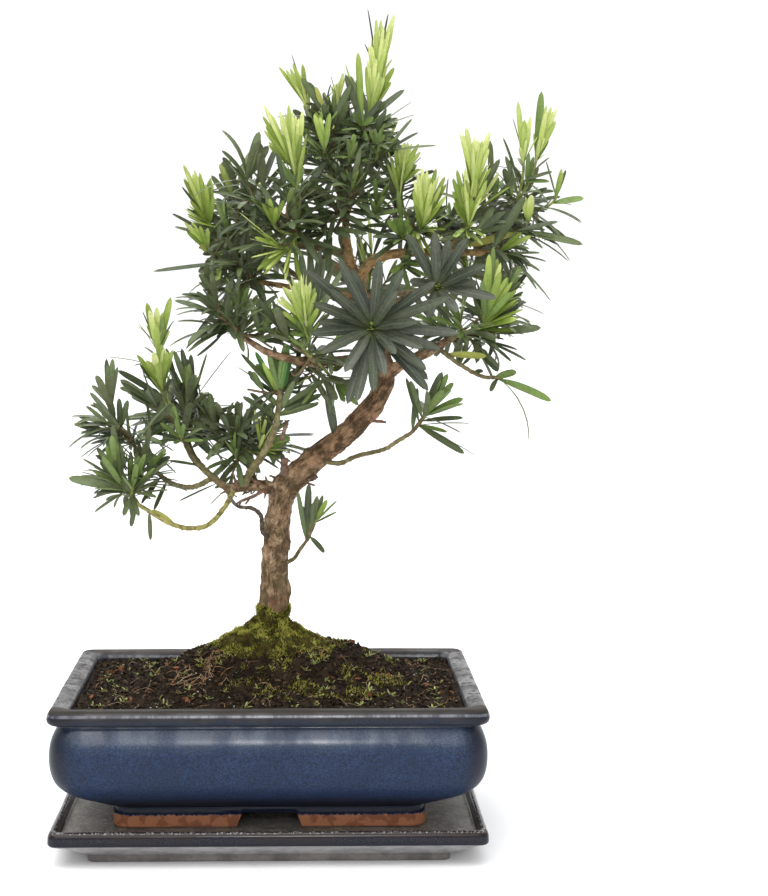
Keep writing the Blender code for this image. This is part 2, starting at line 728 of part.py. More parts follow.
def leaves_of(name, mass, twigs, space, rng):
    """The leaves of all the mass's shoots that its space has room for."""
    leaves = []
    blades = []
    for (_, _, _, bears, size), twig in zip(mass.shoots, twigs):
        turn = rng.uniform(0, 2 * math.pi)
        for whorl in HABITS[bears]:
            for i in range(whorl.count):
                turn += GOLDEN_ANGLE + math.radians(rng.uniform(-TURN_SPREAD, TURN_SPREAD))
                share = i / (whorl.count - 1)
                back = (whorl.start + (whorl.stop - whorl.start) * share) * size * MM + TWIG_END
                lean = whorl.low + (whorl.high - whorl.low) * share
                lean += rng.uniform(-LEAN_SPREAD, LEAN_SPREAD)
                length = whorl.length * size * rng.uniform(*LENGTH_SPREAD) * MM
                choices = (
                    leaf_along(twig, back, turn, math.radians(lean) * less, length * shorter,
                               whorl.width * MM)
                    for less, shorter in DRAWN_IN
                )
                found = first_that_fits(choices, name, space, blades)
                if found:
                    leaves.append(found)
                    blades.append(blade_tree(found))
    return leaves


def keep_main_shell(obj):
    """Drops loose scraps and fills sealed hollows: only the mesh's largest shell stays."""
    bm = bmesh.new()
    bm.from_mesh(obj.data)
    left = set(bm.faces)
    shells = []
    while left:
        shell = []
        found = {left.pop()}
        while found:
            face = found.pop()
            shell.append(face)
            beside = {other for edge in face.edges for other in edge.link_faces} & left
            left -= beside
            found |= beside
        shells.append(shell)
    shells.sort(key=len)
    scraps = [face for shell in shells[:-1] for face in shell]
    bmesh.ops.delete(bm, geom=scraps, context="FACES")
    bm.to_mesh(obj.data)
    bm.free()


def triangle_section(guides):
    """The outline of a three-sided twig, of radius one."""
    curve = bpy.data.curves.new("twig_section", "CURVE")
    curve.dimensions = "2D"
    spline = curve.splines.new("POLY")
    spline.points.add(2)
    spline.use_cyclic_u = True
    for i, point in enumerate(spline.points):
        angle = 2 * math.pi * i / 3
        point.co = (math.cos(angle), math.sin(angle), 0, 1)
    obj = bpy.data.objects.new("twig_section", curve)
    obj.hide_render = True
    obj.display_type = "WIRE"
    guides.objects.link(obj)
    return obj


def make_masses(lines, collection, cutters, finish):
    section = triangle_section(cutters)
    rng = random.Random(SEED)
    stems = {name: stem_line(mass, lines) for name, mass in MASSES.items()}
    twigs = {name: twig_lines(mass, stems[name], rng) for name, mass in MASSES.items()}
    space = Space({name: [stems[name]] + twigs[name] for name in MASSES}, lines.values())
    for name, mass in MASSES.items():
        joined = new_collection(name + "_pieces", cutters)
        stem = tube(name, stems[name], 0, collection, section)
        if mass.height is not None:
            seat = tube(name + "_seat", grown(lines["trunk"]), 4, cutters)
            boolean(stem, "DIFFERENCE", seat)
        for i, twig in enumerate(twigs[name]):
            tube(f"{name}_twig_{i}", twig, 0, joined, section)
        for i, leaf in enumerate(leaves_of(name, mass, twigs[name], space, rng)):
            make_leaf(f"{name}_leaf_{i}", leaf, joined)
        join_all(stem, joined)
        obj = as_mesh(stem, collection, finish)
        keep_main_shell(obj)
        for piece in list(joined.objects):
            bpy.data.objects.remove(piece, do_unlink=True)
        bpy.data.collections.remove(joined)


def hide_cutters(cutters):
    cutters.hide_render = True
    for obj in cutters.objects:
        obj.hide_render = True
        obj.display_type = "WIRE"


def main():
    clear_scene()
    scene = bpy.context.scene.collection
    bonsai = new_collection("buddhist_pine_bonsai", scene)
    cutters = new_collection("cutters", scene)
    finish = {name: material(name) for name in COLOURS}
    make_tray(bonsai, finish["glaze"])
    make_pot(bonsai, cutters, finish["glaze"])
    make_soil(bonsai, finish["soil"])
    trunk_line = smooth_line(TRUNK, LINE_STEP)
    make_moss(trunk_line, bonsai, cutters, finish["moss"])
    trunk = tube("trunk", trunk_line, 4, bonsai)
    trunk.data.materials.append(finish["bark"])
    lines = {"trunk": trunk_line}
    make_limbs(lines, bonsai, cutters, finish["bark"])
    make_masses(lines, bonsai, cutters, finish["leaf"])
    hide_cutters(cutters)


main()
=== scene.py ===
"""A buddhist pine bonsai in a glazed pot on its tray, with the finish of every surface.

Metres, +Z up, the front towards -Y. Tables of places and sizes are in millimetres.
"""

import math
import random
from collections import namedtuple

import bmesh
import bpy
import numpy as np
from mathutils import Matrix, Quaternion, Vector, noise
from mathutils.kdtree import KDTree

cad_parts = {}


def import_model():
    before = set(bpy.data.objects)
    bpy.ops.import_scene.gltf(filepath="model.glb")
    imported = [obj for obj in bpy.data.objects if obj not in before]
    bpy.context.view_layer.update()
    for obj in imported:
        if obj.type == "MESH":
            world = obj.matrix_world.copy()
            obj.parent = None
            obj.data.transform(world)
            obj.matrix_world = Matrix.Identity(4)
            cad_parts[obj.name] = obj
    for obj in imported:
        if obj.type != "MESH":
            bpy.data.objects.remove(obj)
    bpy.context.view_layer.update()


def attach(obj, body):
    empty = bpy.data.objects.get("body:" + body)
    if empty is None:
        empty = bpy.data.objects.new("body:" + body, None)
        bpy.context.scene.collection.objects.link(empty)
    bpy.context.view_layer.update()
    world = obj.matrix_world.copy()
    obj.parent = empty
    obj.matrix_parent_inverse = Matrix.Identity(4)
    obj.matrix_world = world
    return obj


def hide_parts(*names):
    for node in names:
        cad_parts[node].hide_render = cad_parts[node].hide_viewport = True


MM = 0.001
UP = Vector((0, 0, 1))
SEED = 26
GOLDEN_ANGLE = math.radians(137.5)

# The pot and the tray share this plan. A profile step is the inset, the height and the corner.
POT_LENGTH = 300
POT_WIDTH = 210
CORNER_STEPS = 8
SIDE_STEPS = 10
PROFILE_STEP = 2.2
TRAY_PROFILE = (
    (26, 0, 5), (25.2, 0.6, 5), (25, 2.2, 5), (25, 4.3, 5), (23.8, 5.4, 5), (18, 8, 5.4),
    (9, 11.9, 5.8), (2.4, 14.6, 6), (0.7, 15.2, 6), (0, 16.4, 6), (0, 19, 6), (0.2, 21.6, 6),
    (0.9, 23.6, 6), (2, 24.8, 6), (3.4, 25, 5.6), (4.6, 24.5, 5.2), (5.3, 23, 5), (6, 20.4, 5),
    (6.8, 18.4, 5), (8.2, 17.7, 5), (20, 17.6, 6), (60, 17.6, 10),
)
# The tray's foot stands further out in front and behind than at its ends.
TRAY_FOOT_DEPTH = 0.64
POT_PROFILE = (
    (46, 28.2, 20), (44, 28.4, 20), (37.5, 31.6, 20), (30, 35.4, 20), (21.5, 40, 20), (13.6, 44.4, 20),
    (8.8, 48.4, 19.5), (5.4, 52.4, 19), (2.9, 57, 18), (1.2, 63, 17.5), (0.4, 69, 17), (0.2, 75, 17), (0.6, 81, 17),
    (1.7, 86, 16.5), (3.4, 90.5, 16), (5.2, 94, 15.5), (6.4, 96, 14), (6.4, 96.9, 13),
    (4.4, 97.4, 11), (1.8, 98, 9), (0.6, 99.4, 8.5), (0, 101.8, 8), (0.1, 103.6, 8), (0.7, 105.6, 8),
    (1.7, 107.4, 7.8), (3.2, 108.4, 7.5), (5, 108.6, 7.4), (8, 108.4, 7.4), (11.4, 107.9, 7.6),
    (13.2, 106.9, 8), (14.4, 105, 9), (15, 102, 10), (15, 96, 12), (15, 80, 14), (15, 50, 16),
)
POT_WAVE = 0.35
TRAY_FOOT_TOP = 5
TRAY_BAND_BOTTOM = 16

# The feet are a wall under the pot, open in the middle of each side.
FOOT_PLAN = (109.5, 69)
FOOT_WALL = 14
FOOT_BOTTOM = 18
FOOT_TOP = 32.5
FOOT_CORNER = 12
FOOT_OPENING_BOTTOM = 49
FOOT_OPENING_TOP = 38
FOOT_OPENING_HEIGHT = 28.3

# The soil's height by its distance from the trunk, and how much steeper it is to front and back.
SOIL_HEAP = ((0, 134), (46, 132), (60, 125), (80, 113), (102, 106), (135, 102.5), (200, 102))
SOIL_STEEPER = 1.3
SOIL_WALL = 15.4
MOSS_MOUND = (
    (43, 39, 128), (42, 38, 132), (37, 34, 136.4), (29, 28, 140.4), (22, 21.3, 143.6),
    (16.2, 16, 147.4), (13, 12.8, 151.6), (11.9, 11.8, 156), (11.2, 11.1, 160.4), (10.3, 10.2, 162),
)

# The trunk's line from the ground cut to its tip: x, y, z and radius.
TRUNK = (
    (1, 0, 128.8, 20), (1, 0, 135, 14), (2, 0, 146, 10.8), (3.2, 0, 165, 10.5), (3.9, 0, 200, 9.3),
    (5, 0, 215, 9.7), (6.8, 0, 233, 9.2), (11.4, 0, 249, 10.2), (22.6, -2, 260.4, 9.6), (35.8, -4, 272, 8.9),
    (52, -6, 285, 8.4), (66.6, -8, 299, 8), (77.4, -8, 313.5, 7.5), (82.6, -8, 328, 7),
    (80.6, -6, 342, 6.5),
    (73, 0, 368, 5.2), (62, 4, 397, 4.2), (56, 6, 418, 3.6), (55, 6, 443, 3), (60, 8, 458, 2.5),
    (64, 8, 476, 2.2), (67, 8, 505, 1.7),
)
LINE_STEP = 12 * MM

# Each bough's parent, its radius at both ends and the points of its line.
Limb = namedtuple("Limb", "parent thick thin line")
LIMBS = {
    "bough_low_left": Limb("trunk", 4.6, 3.4, ((6, 0, 247), (-10, -12, 251), (-29, -22, 249))),
    "low_left_rise": Limb(
        "bough_low_left", 3, 2,
        ((-19, -17, 250), (-14, -27, 261), (-3, -38, 278), (5, -45, 297), (8, -50, 319)),
    ),
    "low_left_out": Limb(
        "bough_low_left", 2.8, 1.7, ((-29, -22, 249), (-42, -20, 259), (-54, -15, 270), (-60, -10, 280))
    ),
    "low_left_loop": Limb(
        "bough_low_left", 1.9, 1.6,
        ((-25, -20, 249), (-30, -34, 240), (-39, -50, 230), (-47, -60, 227), (-58, -69, 228)),
    ),
    "low_left_loop_end": Limb(
        "low_left_loop", 1.6, 1.4, ((-58, -69, 228), (-69, -75, 233), (-80, -76, 240), (-92, -72, 247))
    ),
    "low_left_far": Limb(
        "low_left_out", 2, 1.4,
        ((-40, -20, 257), (-54, -32, 252), (-68, -42, 256), (-82, -46, 268), (-91, -46, 279)),
    ),
    "low_left_back": Limb("low_left_out", 1.9, 1.4, ((-48, -17, 265), (-56, 8, 272), (-62, 32, 284))),
    "low_left_inner": Limb(
        "bough_low_left", 2.1, 1.5, ((-9, -11, 251), (-15, 0, 262), (-22, 2, 274))
    ),
    "dead_twig": Limb(
        "trunk", 1.9, 1.1,
        ((2, -2, 211), (-5, -13, 217), (-6, -24, 230), (-12, -34, 237), (-22, -38, 239), (-28, -38, 246)),
    ),
    "right_low_sprig": Limb("trunk", 1.6, 1.2, ((6, -2, 190), (17, -7, 197), (21, -15, 204), (26, -24, 212))),
    "right_low_twig": Limb(
        "trunk", 1.8, 1.4,
        ((36, -4, 268), (50, -16, 267), (62, -25, 273), (80, -40, 279), (89, -45, 285), (98, -50, 291)),
    ),
    "bough_right_mid": Limb(
        "trunk", 4.6, 2.8, ((84, -8, 330), (96, -18, 339), (110, -32, 346), (126, -48, 357))
    ),
    "right_mid_out": Limb(
        "bough_right_mid", 1.7, 1.3, ((117, -39, 351), (131, -42, 340), (149, -36, 330), (163, -30, 329))
    ),
    "bough_left_mid": Limb(
        "trunk", 4.2, 2.2, ((80, -7, 338), (55, -34, 341), (27, -56, 341), (2, -58, 347), (-16, -53, 357))
    ),
    "left_front_twig": Limb("bough_left_mid", 2, 1.5, ((33, -52, 341), (31, -60, 342), (30, -66, 344))),
    "bough_right_high": Limb(
        "trunk", 4.2, 2.4,
        ((65, 3, 390), (68, -8, 405), (81, -17, 414), (100, -20, 416), (126, -16, 417), (158, -12, 416)),
    ),
    "right_high_up": Limb("bough_right_high", 2.1, 1.6, ((98, -20, 416), (101, -15, 423), (103, -11, 429))),
    "right_high_crook": Limb(
        "bough_right_high", 2, 1.5, ((124, -16, 417), (131, -18, 424), (136, -18, 432))
    ),
    "right_high_tip": Limb(
        "bough_right_high", 2.2, 1.6, ((146, -13, 417), (158, -2, 428), (170, 2, 443))
    ),
    "leader_left": Limb("trunk", 2.4, 1.7, ((55, 6, 444), (49, 4, 461), (46, 2, 475))),
    "bough_left_high": Limb(
        "trunk", 3.2, 1.9, ((60, 5, 402), (45, -8, 408), (34, -18, 414), (26, -24, 424))
    ),
    "bough_left_far": Limb(
        "trunk", 3, 1.8, ((57, 6, 416), (34, 14, 420), (6, 18, 424), (-20, 15, 431))
    ),
    "bough_left_side": Limb(
        "trunk", 3.2, 1.8, ((67, 2, 384), (40, 4, 388), (15, -2, 392), (-8, -10, 396))
    ),
    "bough_back": Limb("trunk", 3.6, 1.9, ((78, -4, 352), (80, 24, 360), (78, 52, 370), (74, 78, 385))),
    "bough_back_left": Limb("trunk", 3, 1.7, ((71, 1, 373), (48, 32, 384), (25, 54, 396), (4, 70, 412))),
    "bough_back_right": Limb("trunk", 3, 1.7, ((71, 1, 374), (94, 24, 382), (120, 42, 390), (144, 54, 401))),
}
# Limbs at least this thick are fused with the trunk under one bark.
FUSED_LIMB = 3.1
LIMB_COLLAR = 1.3
BARK_VOXEL = 0.7 * MM
# Bark flakes in mm: their width round a limb and their length along it, large and small.
FLAKES = ((5.2, 9), (2.1, 4.2))

# Lumps on the trunk: where, how wide and how high.
KNOTS = (
    ((-7, -4, 189), 3.5, 1.8), ((12, -4, 173), 5, 1.8), ((13, -3, 209), 2.5, 1.5),
    ((4, -11, 181), 4, 1.2), ((8, -9, 224), 5, 1.5), ((-4, -6, 243), 5, 1.6),
    ((22, -10, 266), 5, 1.3), ((62, -14, 284), 5, 1.4), ((86, -13, 322), 4, 1.4),
    ((-6.6, -3, 176), 7, 1.3), ((13.4, -2, 174), 6, 1.1), ((2, 11, 176), 6, 2.0), ((12, 8, 214), 5, 1.6), ((30, 6, 268), 5, 1.4),
)

# Broken twigs and lifted shreds of bark: their points with a radius each.
STUBS = (
    ((70, -8, 296.5, 1.4), (78, -9, 296.3, 1.1), (83.4, -9, 295.6, 1)),
    ((20, -6, 256, 1.5), (28, -9, 254.6, 1.4), (32, -10, 256, 2.1), (34.2, -10, 257.2, 1.3)),
    ((25, -8, 252.4, 0.8), (32.4, -9, 250.2, 0.7)),
    ((10, -8, 257, 3.1), (10.4, -10, 265, 2.8), (10.6, -11, 270, 2.5)),
    ((-5, -17, 247, 1.3), (-11, -20, 244, 1.2), (-18, -22, 241.6, 1.1), (-24, -22, 238.6, 0.7)),
    ((-14, -20, 242.6, 0.8), (-17, -23, 238.5, 0.6)), ((-20, -20, 241, 0.9), (-22, -22, 236.6, 0.6)),
    ((-10, -17, 253, 1), (-13, -19, 256.6, 0.7)), ((-2, -14, 254, 1), (-3, -16, 257.6, 0.6)),
    ((-19, -19, 252, 1), (-25, -20, 255.8, 0.7)), ((4, -10, 256, 1), (0, -13, 257.8, 0.7)),
    ((12.7, -44, 299.4, 1.7), (10.6, -42, 292, 1.5), (8.4, -40, 286, 1.3)),
)

# Small shreds of bark on the lowest bough.
SHREDS = 46

# A shoot: where its twig ends in mm, which way it points there, what it bears, and its size.
Shoot = namedtuple("Shoot", "x y z heading bears size")
# Leaves with a place of their own: the foot that they share, their width, tint, arch in degrees,
# how far they turn their faces to the front, and the tip of each.
Leaf = namedtuple("Leaf", "foot width tint arch front tips")
# A mass's bough, the height at which its stem leaves the trunk where it has no bough, its shoots
# and its single leaves.
Mass = namedtuple("Mass", "bough height shoots leaves")
MASSES = {
    "foliage_apex": Mass("trunk", None, (
        Shoot(77, 8, 543, (0, 0, 10), "tuft", 1.05),
        Shoot(66, -4, 506, (0, -2, 10), "upright", 0.6),
        Shoot(73, 0, 502, (6, 0, 8), "old", 0.7),
        Shoot(62, 10, 507, (-5, 0, 8), "old", 0.6),
        Shoot(82, -18, 486, (8, -2, 5), "old", 0.65),
        Shoot(86, 14, 497, (3, 0, 10), "bundle", 0.5),
        Shoot(76, -24, 486, (1, -3, 10), "green", 0.5),
        Shoot(74, 26, 507, (2, 6, 8), "old", 0.9),
    ), (
        Leaf((73, 6, 515), 3.5, "young", 6, 0.7, (
            (69, 0, 548), (73, 10, 556), (76, 4, 554), (80, 13, 551), (82, 2, 540), (75, 8, 545),
        )),
        Leaf((74, 8, 532), 3.4, "young", 6, 0.7, (
            (71, 2, 563), (74, 12, 570), (75, 6, 571), (79, 15, 564), (82, 4, 567),
        )),
        Leaf((77, 8, 550), 3, "young", 4, 0.8, ((76, 2, 581), (80, 12, 582), (78, 6, 574),)),
        Leaf((79, 8, 543), 4, "young", 6, 0.8, ((89, 2, 584), (86, 12, 572),)),
        Leaf((76, 6, 522), 4.4, "bright", 8, 0.7, ((89, 0, 547), (87, 10, 538),)),
        Leaf((68, -4, 514), 4.7, "bright", 8, 0.8, ((63, -4, 557),)),
        Leaf((81, 8, 553), 1.7, "dusty", 6, 0.4, ((85, 8, 586),)),
        Leaf((72, 8, 546), 1.5, "dusty", 8, 0.3, ((70, 5, 589), (68, 10, 565),)),
        Leaf((78, 8, 536), 1.8, "young", 6, 0.4, ((88, 8, 554),)),
        Leaf((66, -4, 510), 4.8, "dark", 6, 0.8, ((54, -10, 541), (58, 0, 541), (80, -6, 523),)),
        Leaf((66, -6, 511), 1.5, "bright", 4, 0.4, ((54, -6, 549),)),
        Leaf((72, -4, 508), 5.4, "dark", 10, 0.7, ((96, -4, 531),)),
        Leaf((82, -4, 507), 3, "dark", 10, 0.3, ((101, -10, 522), (104, 0, 514),)),
        Leaf((75, 4, 522), 3, "young", 4, 0.8, (
            (70, -2, 552), (78, 8, 566), (81, 2, 573), (84, 11, 559), (86, 0, 576),
        )),
        Leaf((78, 8, 533), 2.9, "young", 4, 0.8, (
            (73, 2, 562), (77, 12, 579), (88, 6, 574), (89, 15, 580), (83, 4, 547),
        )),
        Leaf((69, -8, 504), 4.6, "fresh", 8, 0.9, ((59, -14, 514), (64, -4, 521), (74, -10, 511),)),
        Leaf((91, -10, 488), 3, "dark", 14, 0.5, ((118, -16, 491), (106, -6, 501), (101, -12, 510),)),
    )),
    "foliage_top_left": Mass("leader_left", None, (
        Shoot(27, 5, 520, (-3, 0, 10), "sprout", 0.5),
        Shoot(49, 16, 526, (-1, 0, 10), "core", 0.5),
        Shoot(41, -8, 511, (-5, -1, 9), "old", 0.6),
        Shoot(35, -14, 502, (-1, -2, 10), "green", 0.6),
        Shoot(39, -24, 487, (1, -3, 9), "green", 0.85),
        Shoot(47, 0, 511, (-1, 0, 10), "old", 0.7),
        Shoot(31, 22, 505, (-4, 6, 7), "old", 0.8),
    ), (
        Leaf((26, 4, 520), 3.4, "bright", 6, 0.6, ((7, -2, 547), (24, 8, 550),)),
        Leaf((26, 5, 524), 3, "young", 6, 0.6, ((17, -1, 550), (20, 9, 546),)),
        Leaf((26, 5, 524), 1.9, "bright", 6, 0.3, ((13, 5, 545),)),
        Leaf((25, 5, 526), 1.1, "dusty", 6, 0.3, ((16, 5, 557),)),
        Leaf((41, 0, 518), 5.4, "dark", 10, 0.8, ((23, -6, 539), (28, 4, 537),)),
        Leaf((43, -4, 515), 4.2, "yellow", 8, 0.5, ((33, -4, 533),)),
        Leaf((36, -12, 499), 3.7, "bright", 6, 0.8, ((33, -18, 514), (37, -8, 518),)),
        Leaf((51, 12, 522), 2.9, "young", 6, 0.6, ((53, 6, 544), (51, 16, 540),)),
        Leaf((51, 12, 522), 1.6, "dusty", 6, 0.3, ((44, 9, 542), (48, 14, 537),)),
        Leaf((26, 4, 523), 2.9, "young", 5, 0.8, (
            (12, -2, 545), (15, 8, 547), (22, 2, 541), (24, 11, 548),
        )),
        Leaf((37, -20, 493), 3.9, "bright", 8, 0.85, (
            (32, -26, 512), (36, -16, 511), (42, -22, 504), (43, -13, 514),
        )),
        Leaf((45, -8, 504), 5.2, "dark", 8, 0.8, ((38, -14, 520), (54, -4, 526), (58, -10, 534),)),
        Leaf((35, -8, 507), 3.6, "dark", 6, 0.7, ((31, -8, 525),)),
    )),
    "foliage_top_back": Mass("trunk", 452, (
        Shoot(52, 56, 494, (0, 5, 9), "bundle", 0.9),
        Shoot(36, 50, 482, (-5, 7, 5), "old", 0.9),
        Shoot(72, 58, 486, (4, 7, 5), "old", 0.9),
    ), ()),
    "foliage_top_mid": Mass("trunk", 440, (
        Shoot(56, -26, 480, (1, -4, 9), "old", 0.8),
        Shoot(40, -22, 453, (-6, -5, 6), "old", 0.8),
        Shoot(76, -26, 447, (2, -5, 9), "green", 0.75),
        Shoot(58, -34, 459, (1, -7, 7), "old", 0.65),
        Shoot(37, -24, 431, (-7, -5, 4), "old", 0.75),
        Shoot(30, -10, 442, (-6, -1, 8), "green", 0.7),
    ), ()),
    "foliage_left_high": Mass("bough_left_high", None, (
        Shoot(18, -25, 478, (-1, 0, 10), "core", 0.85),
        Shoot(18, -30, 463, (-7, 0, 8), "green", 0.45),
        Shoot(-4, -30, 472, (1, 0, 10), "broad", 1),
        Shoot(-15, -36, 466, (-2, 0, 10), "arched", 0.95),
        Shoot(14, -48, 450, (3, -5, 8), "old", 0.9),
        Shoot(8, -46, 420, (-7, -4, 6), "bundle", 0.85),
        Shoot(2, -44, 441, (0, -3, 9), "green", 0.6),
        Shoot(-8, -38, 438, (-9, -4, 2), "arched", 0.75),
    ), (
        Leaf((19, -27, 471), 3.6, "young", 6, 0.8, (
            (-3, -33, 518), (2, -23, 512), (8, -29, 514), (11, -20, 508), (14, -31, 518),
            (19, -25, 511),
        )),
        Leaf((20, -27, 471), 4.4, "young", 4, 0.9, ((24, -27, 514),)),
        Leaf((20, -25, 476), 3, "bright", 6, 0.7, ((13, -31, 495), (21, -21, 507),)),
        Leaf((19, -29, 473), 3.2, "young", 10, 0.7, ((-3, -35, 500), (0, -25, 493), (3, -31, 500),)),
        Leaf((20, -30, 461), 4.6, "fresh", 10, 0.8, ((9, -36, 474), (24, -26, 476),)),
        Leaf((-17, -36, 471), 4.2, "dark", 66, 0.3, ((-32, -36, 500),)),
        Leaf((-19, -38, 468), 4, "dark", 34, 0.5, ((-32, -38, 486),)),
        Leaf((-19, -38, 466), 4.8, "dark", 18, 0.7, ((-32, -38, 478),)),
        Leaf((-16, -38, 467), 2.8, "dark", 48, 0.3, ((-53, -38, 453),)),
        Leaf((-18, -40, 459), 2.6, "dark", 34, 0.3, ((-40, -45, 457), (-34, -37, 449),)),
        Leaf((-1, -42, 454), 3.2, "dark", 26, 0.3, ((-33, -42, 450),)),
        Leaf((-12, -30, 469), 6.2, "dark", 8, 0.9, ((-6, -36, 499), (0, -26, 490),)),
        Leaf((19, -31, 473), 2.7, "young", 3, 0.9, (
            (-1, -36, 512), (4, -27, 506), (8, -33, 509), (12, -25, 513), (17, -35, 513),
            (21, -29, 509),
        )),
        Leaf((19, -33, 472), 2.9, "bright", 4, 0.9, (
            (0, -39, 497), (5, -29, 494), (10, -35, 497), (15, -26, 502), (23, -37, 497),
        )),
        Leaf((7, -50, 431), 3.7, "bright", 10, 0.8, (
            (-4, -56, 449), (1, -46, 453), (6, -52, 447), (11, -43, 452),
        )),
        Leaf((-1, -50, 409), 3.4, "bright", 8, 0.8, ((-9, -56, 426), (-4, -46, 429), (1, -52, 423),)),
        Leaf((18, -29, 473), 3.4, "bright", 6, 0.8, (
            (-4, -35, 510), (-2, -25, 504), (2, -31, 496), (0, -22, 491),
        )),
        Leaf((8, -46, 459), 3.4, "dark", 8, 0.7, ((6, -52, 484), (3, -42, 464),)),
    )),
    "foliage_left_far": Mass("bough_left_far", None, (
        Shoot(-45, 10, 440, (-3, 0, 10), "core", 0.7),
        Shoot(-44, -2, 418, (-7, -1, 7), "sprout", 1),
        Shoot(-39, 4, 426, (-9, 0, 3), "arched", 0.7),
        Shoot(-25, 14, 467, (-4, 0, 9), "old", 0.85),
        Shoot(-29, -6, 431, (-2, -3, 9), "upright", 0.75),
        Shoot(-38, 22, 413, (-10, 0, -2), "arched", 0.55),
        Shoot(-14, 36, 450, (0, 5, 9), "old", 0.95),
        Shoot(-25, 30, 451, (-3, 5, 8), "old", 0.85),
    ), (
        Leaf((-34, -4, 456), 4.6, "young", 10, 0.7, ((-35, -4, 479),)),
        Leaf((-44, -8, 416), 5, "yellow", 10, 0.9, ((-49, -8, 421),)),
        Leaf((-47, 8, 447), 3.7, "young", 6, 0.7, ((-61, 2, 479), (-55, 12, 473), (-51, 6, 471),)),
        Leaf((-45, 6, 440), 3.5, "bright", 8, 0.7, (
            (-48, 0, 469), (-42, 10, 470), (-61, 4, 469), (-45, 13, 464), (-58, 2, 459),
        )),
        Leaf((-44, 2, 438), 3.6, "dark", 8, 0.5, ((-62, -4, 463), (-59, 6, 448),)),
        Leaf((-46, 2, 450), 3, "young", 5, 0.8, (
            (-59, -4, 473), (-58, 6, 468), (-53, 0, 475), (-50, 9, 467),
        )),
        Leaf((-45, 0, 435), 3.9, "bright", 6, 0.8, (
            (-56, -6, 453), (-51, 4, 461), (-45, -2, 465), (-41, 7, 467), (-39, -4, 456),
        )),
        Leaf((-49, -6, 418), 3.5, "bright", 8, 0.8, (
            (-58, -12, 431), (-55, -2, 438), (-49, -8, 435), (-44, 1, 434),
        )),
        Leaf((-45, 0, 428), 3.4, "dark", 12, 0.6, ((-69, -6, 444), (-68, 4, 435),)),
        Leaf((-44, 2, 444), 3.2, "bright", 6, 0.8, ((-49, -4, 473), (-43, 6, 468),)),
    )),
    "foliage_left_side": Mass("bough_left_side", None, (
        Shoot(-33, -8, 406, (-10, 0, 2), "arched", 0.9),
        Shoot(-22, -28, 410, (-7, -4, 5), "arched", 0.85),
        Shoot(-39, -34, 386, (-4, -2, 9), "broad", 0.75),
        Shoot(-10, 16, 404, (2, 6, 8), "old", 0.8),
        Shoot(-21, 0, 393, (-8, 6, -3), "arched", 0.8),
    ), (
        Leaf((-30, -28, 408), 4.4, "dark", 2, 0.5, ((-81, -28, 403),)),
    )),
    "foliage_left_mid": Mass("bough_left_mid", None, (
        Shoot(-36, -68, 373, (-9, 0, 3), "arched", 0.95),
        Shoot(-29, -60, 363, (-10, 0, 0), "arched", 0.6),
        Shoot(-19, -50, 378, (-2, -2, 10), "green", 0.75),
        Shoot(-3, -62, 363, (-1, 0, 10), "old", 0.75),
        Shoot(-35, -58, 381, (-4, 0, 9), "arched", 0.7),
        Shoot(-20, -48, 363, (-5, 5, 7), "green", 0.5),
    ), (
        Leaf((-27, -58, 362), 4.5, "dark", 20, 0.3, ((-35, -63, 358),)),
        Leaf((-36, -60, 353), 4.5, "dark", -20, 0.3, ((-49, -60, 345),)),
        Leaf((-37, -62, 384), 2.8, "dark", 34, 0.35, ((-63, -68, 385), (-48, -58, 384),)),
        Leaf((-35, -62, 375), 3.2, "dark", 36, 0.35, ((-63, -68, 377), (-63, -58, 373),)),
        Leaf((-31, -60, 366), 3.2, "dark", 40, 0.35, (
            (-62, -66, 369), (-69, -56, 351), (-65, -62, 354),
        )),
        Leaf((-29, -58, 360), 3.4, "dark", 26, 0.4, ((-55, -64, 348), (-52, -54, 352),)),
        Leaf((-29, -56, 360), 4.4, "dark", 10, 0.8, ((-31, -62, 373), (-27, -52, 372),)),
        Leaf((-4, -60, 358), 4.2, "dark", 8, 0.8, (
            (-12, -66, 384), (-7, -56, 385), (-1, -62, 382), (3, -53, 378),
        )),
    )),
    "foliage_left_front": Mass("left_front_twig", None, (
        Shoot(25, -68, 373, (-1, 0, 10), "core", 0.64),
        Shoot(12, -76, 360, (-5, -2, 8), "broad", 0.85),
        Shoot(42, -56, 349, (6, -3, 8), "old", 0.8),
        Shoot(16, -56, 334, (-3, -4, 9), "old", 0.75),
        Shoot(34, -52, 326, (-3, -5, -8), "old", 0.8),
        Shoot(47, -48, 325, (5, -5, -7), "green", 0.6),
        Shoot(22, -80, 357, (-2, -5, 8), "green", 0.7),
    ), (
        Leaf((25, -70, 369), 3.5, "young", 8, 0.8, (
            (8, -76, 386), (10, -66, 393), (15, -72, 390), (19, -63, 396),
        )),
        Leaf((26, -70, 369), 3.5, "bright", 8, 0.8, ((23, -76, 398), (32, -66, 392),)),
        Leaf((27, -70, 370), 3, "young", 6, 0.8, ((29, -70, 396),)),
        Leaf((25, -72, 358), 4.6, "fresh", 12, 0.8, ((19, -78, 369), (15, -68, 361), (30, -74, 366),)),
        Leaf((25, -72, 370), 3.2, "young", 5, 0.9, (
            (6, -78, 384), (12, -68, 392), (17, -74, 394), (21, -65, 397), (26, -76, 395),
            (33, -70, 389),
        )),
        Leaf((25, -73, 363), 3.7, "bright", 8, 0.9, (
            (10, -79, 376), (14, -69, 380), (34, -75, 378), (37, -66, 384),
        )),
        Leaf((45, -12, 283), 6.6, "dusty", 6, 0.95, ((41, -12, 319),)),
        Leaf((50, -24, 410), 3.6, "dark", 8, 0.8, ((39, -30, 426), (44, -20, 428),)),
        Leaf((37, -40, 380), 4.4, "dark", 12, 0.8, (
            (24, -46, 409), (30, -36, 413), (39, -42, 412), (46, -33, 411), (52, -44, 405),
        )),
